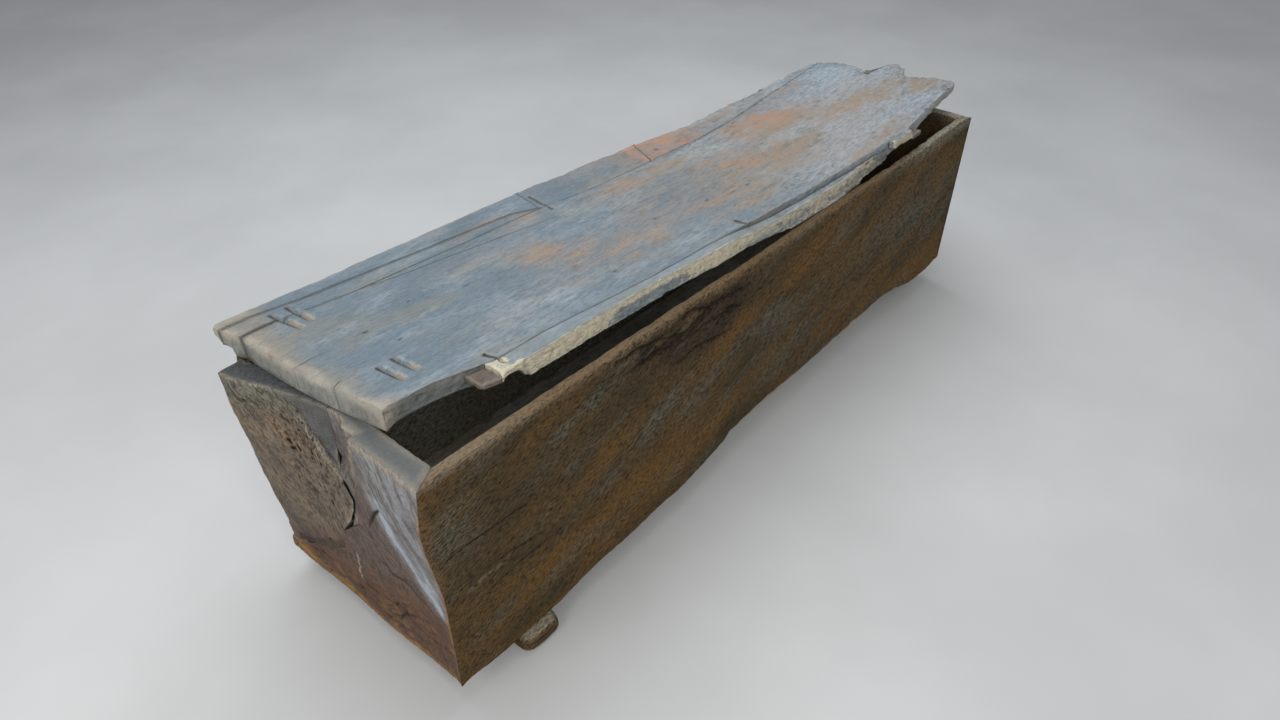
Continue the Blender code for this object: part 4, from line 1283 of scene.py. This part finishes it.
def end_masks(end):
    """The foot end's noises, which way its faces look, and its recess beside the slab."""
    m = patterns((end_along(end.points), END_GRAIN_NOISE), (end.points, END_NOISE))
    m.x, m.y, m.z = end.points.T
    m.face = end.facing(0, -1)
    m.top = end.facing(2, 1)
    m.low = ease(0.26, 0.14, m.z)
    m.ridge = 1 - np.abs(m.ridge)
    m.recess = ease(0.014, 0.020, m.x) * ease(0.22, 0.26, m.z) * m.face
    above = m.z - np.interp(m.y, LUMP_PLACES, LUMP_HEIGHTS)
    lump_zone = ease(0.255, 0.275, m.y) * m.face
    m.under_lump = ease(0.003, -0.001, above) * lump_zone
    m.on_lump = ease(0.000, 0.004, above) * ease(0.035, 0.020, above) * lump_zone
    return m


def end_relief(end, m):
    """Grain, lumps and ridges low down, and a recess that is filled toward its foot."""
    held = 0.4 + 0.6 * ease(0.004, 0.03, m.y)
    relief = 0.0009 * (0.7 + m.fibre) + 0.0012 * (0.7 + m.wide)
    relief = relief + (0.0022 * (0.7 + m.lump) + 0.0038 * ease(0.72, 1.0, m.ridge)) * m.low
    end.push(m.face * held * np.maximum(relief, 0))
    end.points[:, 0] -= 0.011 * m.recess * ease(0.216, 0.196, m.y) * ease(0.42, 0.45, m.z)
    edge_y = slab_edge(m.z)
    under = np.clip((m.y - edge_y) / (SLAB_SPLIT * BOX_WIDTH - edge_y), 0, 1)
    filled = FOOT_FACE + 0.0035 + RECESS_DEPTH * under
    surplus = np.maximum(end.points[:, 0] - filled, 0)
    end.points[:, 0] -= m.recess * ease(0.45, 0.42, m.z) * surplus
    end.push(m.top * 0.0008 * (1 + m.top_grain) + 0.0035 * m.under_lump)


def end_stains(end, m):
    """A white streak with a mottled right side, a red and warm foot, and a grey recess with a painted
    highlight low in it.
    """
    streak, _ = line_distance(m.y, m.z, PALE_STREAK)
    streak_y, streak_z = PALE_STREAK[0]
    side_of = m.y - (streak_y - (streak_z - m.z) * STREAK_SLOPE)
    right = ease(0.01, -0.05, side_of) * ease(0.22, 0.30, m.z)
    behind = ease(0.0, 0.05, side_of) * ease(0.50, 0.40, m.z)
    recess_painted_light = ease(0.245, 0.236, m.y) * ease(0.262, 0.275, m.z) * ease(0.350, 0.315, m.z)
    lowest = ease(0.016, 0.004, m.z - END_FOOT - 0.012 * ease(0.2, 0.5, m.y))
    end.tint(
        m.face,
        pale=1.2 * bell(streak, 0.022) * (0.35 + 0.35 * m.broken + 0.45 * m.mottled)
        + 0.50 * right * (0.2 + 0.5 * m.broken + 0.4 * m.mottled),
        dark=0.30 * right * ease(0.35, 0.0, m.broken) + 0.55 * m.darker
        + 0.5 * ease(0.72, 0.95, m.ridge) * m.low,
        green=0.9 * behind + 0.5 * ease(0.30, 0.18, m.z),
        red=0.95 * ease(0.235, 0.15, m.z - 0.25 * (0.2 - m.y)),
        line=0.75 * ease(0.92, 1.0, m.ridge) * m.low,
        warm=0.8 * lowest + 0.35 * m.warmer * m.low,
    )
    # A painted highlight low in the recess, where the slab shades it
    end.tint(m.recess, pale=0.15, green=0.7, wear=0.9 * recess_painted_light)
    end.tint(m.on_lump, green=0.5)
    end.tint(spot(m.y, m.z, END_FOOT_CORNER, (0.03, 0.02)), warm=0.6)
    end.fade(m.top, pale=1.0, green=1.0, dark=1.0)


def end_edges(end, m):
    edge = bell(end.arris_away, 0.009) * ease(0.40, 0.52, m.z)
    end.tint(edge, wear=0.75 * (1 - 0.6 * m.top))
    corner = ease(0.011, 0.003, m.y) * ease(0.52, 0.45, m.z)
    end.tint(corner, warm=0.9 * np.clip(m.face + 0.3, 0, 1))
    # Painted shade in the inward corners
    end.tint(0.25, hollow=bell(end.hollow_away, 0.004))
    # A painted highlight along the edge of a crack
    away, _ = line_distance(m.y, m.z, CRACK_HIGHLIGHT)
    end.tint(m.face, wear=1.2 * bell(away, 0.0024))


def make_foot_end():
    end = Piece("foot_end_board", graded(end_target, END_CRACKS, (1, 2), 0.0018))
    end.wear(0.008, 7, low=0.3, zone=0.6 + 0.4 * ease(0.01, 0.05, end.points[:, 1]))
    m = end_masks(end)
    end_relief(end, m)
    end_stains(end, m)
    end_edges(end, m)
    end.crack(END_CRACKS, (1, 2), 0.0026, 0.0045, m.face)
    end.finish(END)


SLAB_CRACKS = (
    ((0.398, 0.523), (0.380, 0.524), (0.352, 0.520)),
    ((0.440, 0.175), (0.400, 0.190), (0.350, 0.180), (0.310, 0.200)),
)
# The arris of the slab's broken face: height, distance from the front
BREAK_HEIGHTS = (0.405, 0.426, 0.444, 0.471, 0.508, 0.532)
BREAK_PLACES = (0.205, 0.229, 0.258, 0.285, 0.304, 0.360)
SLAB_FOOT = ((0.475, 0.095), (0.421, 0.118), (0.381, 0.148), (0.341, 0.168), (0.281, 0.211))
# The broken face's lit tip, which gets a painted highlight
SLAB_TIP_HIGHLIGHT = ((0.206, 0.350), (0.214, 0.322), (0.238, 0.295))
SLAB_HOLE = (0.425, 0.483)
GREY_PLACE = ((0.215, 0.392), (0.016, 0.026))
# The porous zone's middle, radii and turn, and a smaller one where the mesh is finer
POROUS_ZONE = ((0.285, 0.385), (0.075, 0.150), 28)
FINE_ZONE = ((0.28, 0.37), (0.075, 0.16), 28)
SLAB_GRAIN_NOISE = {
    "fibre": ((0.02, 0.0065, 0.03), 17, 4),
    "warmer": ((0.1, 0.04, 0.08), 37, 4, -0.3, 0.4),
    "darker": ((0.1, 0.012, 0.05), 47, 4, 0.1, 0.6),
}
SLAB_NOISE = {
    "wide": (0.045, 27, 4),
    "top_dark": ((0.05, 0.03, 0.05), 38, 4, 0.0, 0.5),
    "ripple": (0.03, 57, 2),
}


def slab_target(points):
    x, y, z = points.T
    wanted = np.where(spot(y, z, *FINE_ZONE) > 0.35, 0.0028, 0.0044)
    rippled = (np.interp(z, BREAK_HEIGHTS, BREAK_PLACES) > y - 0.004) & (z > 0.40)
    wanted = np.where(rippled, 0.0019, wanted)
    return np.where(x > 0.035, 0.012, wanted)


def slab_masks(slab):
    """The slab's noises, its outer face, its broken face, its porous zone and its lower edge."""
    along = end_along(slab.points)
    m = patterns((along, SLAB_GRAIN_NOISE), (slab.points, SLAB_NOISE))
    m.x, m.y, m.z = slab.points.T
    m.right_of = np.interp(m.z, BREAK_HEIGHTS, BREAK_PLACES) - m.y
    m.right_of = m.right_of * ease(0.400, 0.415, m.z)
    m.broken = ease(-0.002, 0.003, m.right_of) * (m.x < 0.040) * (slab.normals[:, 2] < 0.9)
    m.face = slab.facing(0, -1, 0.3, 0.8) * (1 - m.broken)
    m.top = slab.facing(2, 1)
    zone = np.clip(1.5 * spot(m.y, m.z, *POROUS_ZONE) + 0.25 * m.wide, 0, 1)
    m.porous = zone * m.face * ease(0.17, 0.24, m.z)
    near, tag = cells(along, (0.020, 0.010, 0.016), 5)
    m.pits = ease(0.55, 0.15, near) * (tag > 0.5) * m.porous
    m.foot_away, _ = line_distance(m.y, m.z, SLAB_FOOT)
    m.shadowed = ease(0.016, 0.006, m.foot_away + 0.006 * m.wide) * m.face
    m.hole = spot(m.y, m.z, SLAB_HOLE, (0.006, 0.0045)) * m.face
    m.ripple = np.sin((m.z + 0.4 * m.y) / 0.0008 + 2.5 * m.ripple)
    return m


def slab_relief(slab, m):
    """Fibres and pits, the ripple and slope of the broken face, and a shadowed lower edge."""
    held = 0.2 + 0.8 * ease(0.0, 0.022, m.y - slab_edge(m.z))
    grain = 0.0009 * (0.8 + m.fibre) + 0.0017 * (0.8 + m.wide)
    slab.push(held * (grain * (m.face + 0.4 * m.broken) + 0.0040 * m.pits))
    slab.push(0.006 * m.hole + 0.0025 * m.shadowed)
    sloped = 1 - np.exp(-np.maximum(m.right_of, 0) / 0.008)
    slab.push((0.0005 * (1 + m.ripple) + 0.003 * sloped) * m.broken)


def slab_stains(slab, m):
    """A green crust above, warm porous wood with painted shade in its pits and hole, a red foot with
    painted shade along its edge, a grey broken face and a painted highlight at its tip.
    """
    # Painted shade in the pits and the hole; line marks the porous zone for the shader's pits
    slab.tint(1.0, hollow=0.6 * m.pits + m.hole, line=np.clip(m.porous + 0.12 * m.face, 0, 1))
    slab.tint(
        m.face,
        green=0.9 * ease(0.42, 0.50, m.z + 0.3 * (m.y - 0.4)),
        warm=0.8 * m.warmer * ease(0.51, 0.44, m.z)
        + 0.35 * ease(0.33, 0.28, m.z) * ease(0.16, 0.20, m.z),
        red=0.95 * ease(0.225, 0.165, m.z + 0.30 * (m.y - 0.40))
        + 0.9 * ease(0.034, 0.020, m.foot_away + 0.010 * m.wide),
        dark=0.5 * m.darker,
        pale=0.7 * spot(m.y, m.z, *GREY_PLACE) * (1 - m.broken),
    )
    slab.tint(m.top, dark=0.5 * m.top_dark)
    # Painted shade along the slab's lower edge, in dark red-brown
    slab.tint(m.shadowed, red=1.0, hollow=0.80)
    slab.fade(m.shadowed, dark=0.7)
    slab.tint(m.broken, dark=0.35 * ease(0.2, 1.0, m.ripple), pale=0.9)
    slab.fade(m.broken, warm=1.0, line=1.0)
    # A painted highlight on the broken face's tip, and wear along the arrises
    tip, _ = line_distance(m.y, m.z, SLAB_TIP_HIGHLIGHT)
    edge = bell(slab.arris_away, 0.006) * ease(0.25, 0.4, m.z)
    slab.tint(1.0, wear=1.2 * bell(tip, 0.006) + 0.55 * edge)


def make_slab():
    slab = Piece("foot_end_slab", graded(slab_target, SLAB_CRACKS, (1, 2), 0.0018))
    from_edge = slab.points[:, 1] - slab_edge(slab.points[:, 2])
    slab.wear(0.007, 7, low=0.3, zone=0.15 + 0.85 * ease(0.004, 0.030, from_edge))
    _, y, z = slab.points.T
    far_corner = spot(y, z, (BOX_WIDTH, FOOT_RIM), (0.050, 0.045))
    slab.wear(0.030, 28, low=0.9, zone=far_corner)
    m = slab_masks(slab)
    slab_relief(slab, m)
    slab_stains(slab, m)
    slab.crack(SLAB_CRACKS, (1, 2), 0.0018, 0.003, m.face)
    slab.finish(SLAB)


HEAD_NOISE = {
    "wide": ((0.05, 0.05, 0.12), 29, 4),
    "fibre": ((0.05, 0.012, 0.06), 39, 3),
    "greener": ((0.1, 0.06, 0.15), 49, 5, 0.0, 0.6),
    "darker": ((0.1, 0.04, 0.12), 59, 5, 0.0, 0.7),
}


def make_head_end():
    end = Piece("head_end_board", lambda points: np.where(points[:, 0] < 1.77, 0.030, 0.014))
    end.wear(0.008, 4)
    m = patterns((end.points, HEAD_NOISE))
    end.push(0.0005 + 0.0012 * (1 + m.wide) + 0.0005 * (1 + m.fibre))
    end.tint(0.5, green=m.greener, dark=m.darker)
    end.tint(1.0, pale=0.9 * end.facing(2, 1, 0.5), wear=0.6 * bell(end.arris_away, 0.008))
    end.finish(SIDE)


# Floor planks and battens


def make_floor_plank(number, name):
    plank = Piece(name, even(0.030))
    plank.wear(0.006, 2)
    m = patterns((plank.points, {
        "wide": ((0.3, 0.03, 0.05), 19 + number, 4),
        "warmer": ((0.3, 0.06, 0.1), 65 + number, 4, 0.0, 0.6),
        "darker": ((0.2, 0.04, 0.1), 75 + number, 4, 0.0, 0.6),
    }))
    plank.push(0.0004 + 0.0006 * (1 + m.wide))
    plank.tint(1.0, warm=0.5 * m.warmer, dark=0.4 * m.darker)
    plank.tint(0.4, wear=bell(plank.arris_away, 0.005))
    plank.finish(INNER_PAINTED_LIGHT)


def make_batten(name):
    batten = Piece(name, even(0.010))
    batten.wear(0.006, 4)
    batten.push(0.0004 + 0.0007 * (1 + fbm(batten.points, (0.02, 0.09, 0.02), 45, 4)))
    batten.tint(0.7, pale=batten.facing(2, 1, 0.5))
    batten.tint(0.4, warm=ease(0.0, 0.6, fbm(batten.points, (0.05, 0.1, 0.05), 55, 4)))
    batten.tint(0.4, wear=bell(batten.arris_away, 0.005))
    batten.finish(SIDE)


make_main_plank()
make_wedge()
for part in ("foot", "middle", "head"):
    make_back_strip("lid_back_strip_" + part)
for name in ("lid_front_strip", "lid_front_stub"):
    make_front_strip(name)
for name in ("lid_tenon_foot", "lid_tenon_head"):
    make_tenon(name)
make_front_side()
make_back_side()
make_foot_end()
make_slab()
make_head_end()
for number, part in enumerate(("front", "middle", "back")):
    make_floor_plank(number, "floor_plank_" + part)
for name in ("foot_batten", "head_batten"):
    make_batten(name)


# Stage, light and camera

FLOOR_HALF = 20.0
# Name, place, what it points at, side, power and colour of each light
LIGHTS = (
    ("light_above", (0.2, 0.9, 3.4), (0, 0, 0.4), 3.0, 85, (0.93, 0.97, 1.0)),
    ("light_foot", (-3.4, -0.2, 1.6), (-0.5, 0, 0.3), 2.0, 45, (1.0, 0.98, 0.95)),
    ("light_gap", (-1.7, -2.5, 2.7), (-0.4, 0.1, 0.3), 1.2, 46, (1.0, 0.99, 0.96)),
)
WORLD_COLOUR = (0.92, 0.96, 1.0, 1.0)
WORLD_STRENGTH = 0.35
# The photo's own view, solved from the box's corners: place in the coffin frame, and angles
CAMERA_PLACE = (-0.4105, -0.7852, 1.4023)
CAMERA_YAW = math.radians(40.79)
CAMERA_PITCH = math.radians(36.97)
CAMERA_TIP = 0.0199  # the photo's own tilt about y, in radians
SENSOR = 36.0
FOCAL_SHARE = 869.1 / 1280.0  # focal length as a share of the photo's width


def make_floor():
    g = Graph("stage_floor_pale")
    place = g.node("TexCoord").outputs["Object"]
    g.put(g.shader.inputs["Base Color"], g.grey(g.band(g.noise(place, 1.3), 0.3, 0.7, 0.50, 0.56)))
    g.put(g.shader.inputs["Roughness"], 0.9)
    g.put(g.shader.inputs["Specular IOR Level"], 0.1)
    mesh = bpy.data.meshes.new("stage_floor")
    corners = [(x * FLOOR_HALF, y * FLOOR_HALF, 0) for x, y in ((-1, -1), (1, -1), (1, 1), (-1, 1))]
    mesh.from_pydata(corners, [], [(0, 1, 2, 3)])
    mesh.materials.append(g.material)
    floor = link("stage_floor", mesh)
    floor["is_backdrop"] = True


def make_light(name, at, target, size, power, colour):
    data = bpy.data.lights.new(name, "AREA")
    data.shape = "SQUARE"
    data.size = size
    data.energy = power
    data.color = colour
    light = link(name, data)
    light.location = at
    light.rotation_euler = (Vector(target) - Vector(at)).to_track_quat("-Z", "Y").to_euler()


def make_world():
    world = bpy.data.worlds.new("world_soft")
    world.use_nodes = True
    inputs = world.node_tree.nodes["Background"].inputs
    inputs["Color"].default_value = WORLD_COLOUR
    inputs["Strength"].default_value = WORLD_STRENGTH
    bpy.context.scene.world = world
    bpy.context.scene.view_settings.view_transform = "Standard"


def make_camera():
    flat, down = math.cos(CAMERA_PITCH), math.sin(CAMERA_PITCH)
    c, s = math.cos(CAMERA_TIP), math.sin(CAMERA_TIP)
    tip = np.array(((c, 0, s), (0, 1, 0), (-s, 0, c)))
    ahead = tip @ (math.cos(CAMERA_YAW) * flat, math.sin(CAMERA_YAW) * flat, -down)
    right = tip @ (math.sin(CAMERA_YAW), -math.cos(CAMERA_YAW), 0.0)
    above = np.cross(right, ahead)
    at = np.array(CAMERA_PLACE) + ORIGIN
    data = bpy.data.cameras.new("camera")
    data.sensor_width = SENSOR
    data.lens = FOCAL_SHARE * SENSOR
    data.clip_start = 0.05
    data.clip_end = 100.0
    camera = link("camera", data)
    rows = [[right[i], above[i], -ahead[i], at[i]] for i in range(3)]
    camera.matrix_world = Matrix(rows + [[0, 0, 0, 1]])
    bpy.context.scene.camera = camera


make_floor()
for light in LIGHTS:
    make_light(*light)
make_world()
make_camera()

boxes = {"cad": cad_box, "visual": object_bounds()}
{key: [list(corner) for corner in value] for key, value in boxes.items()}
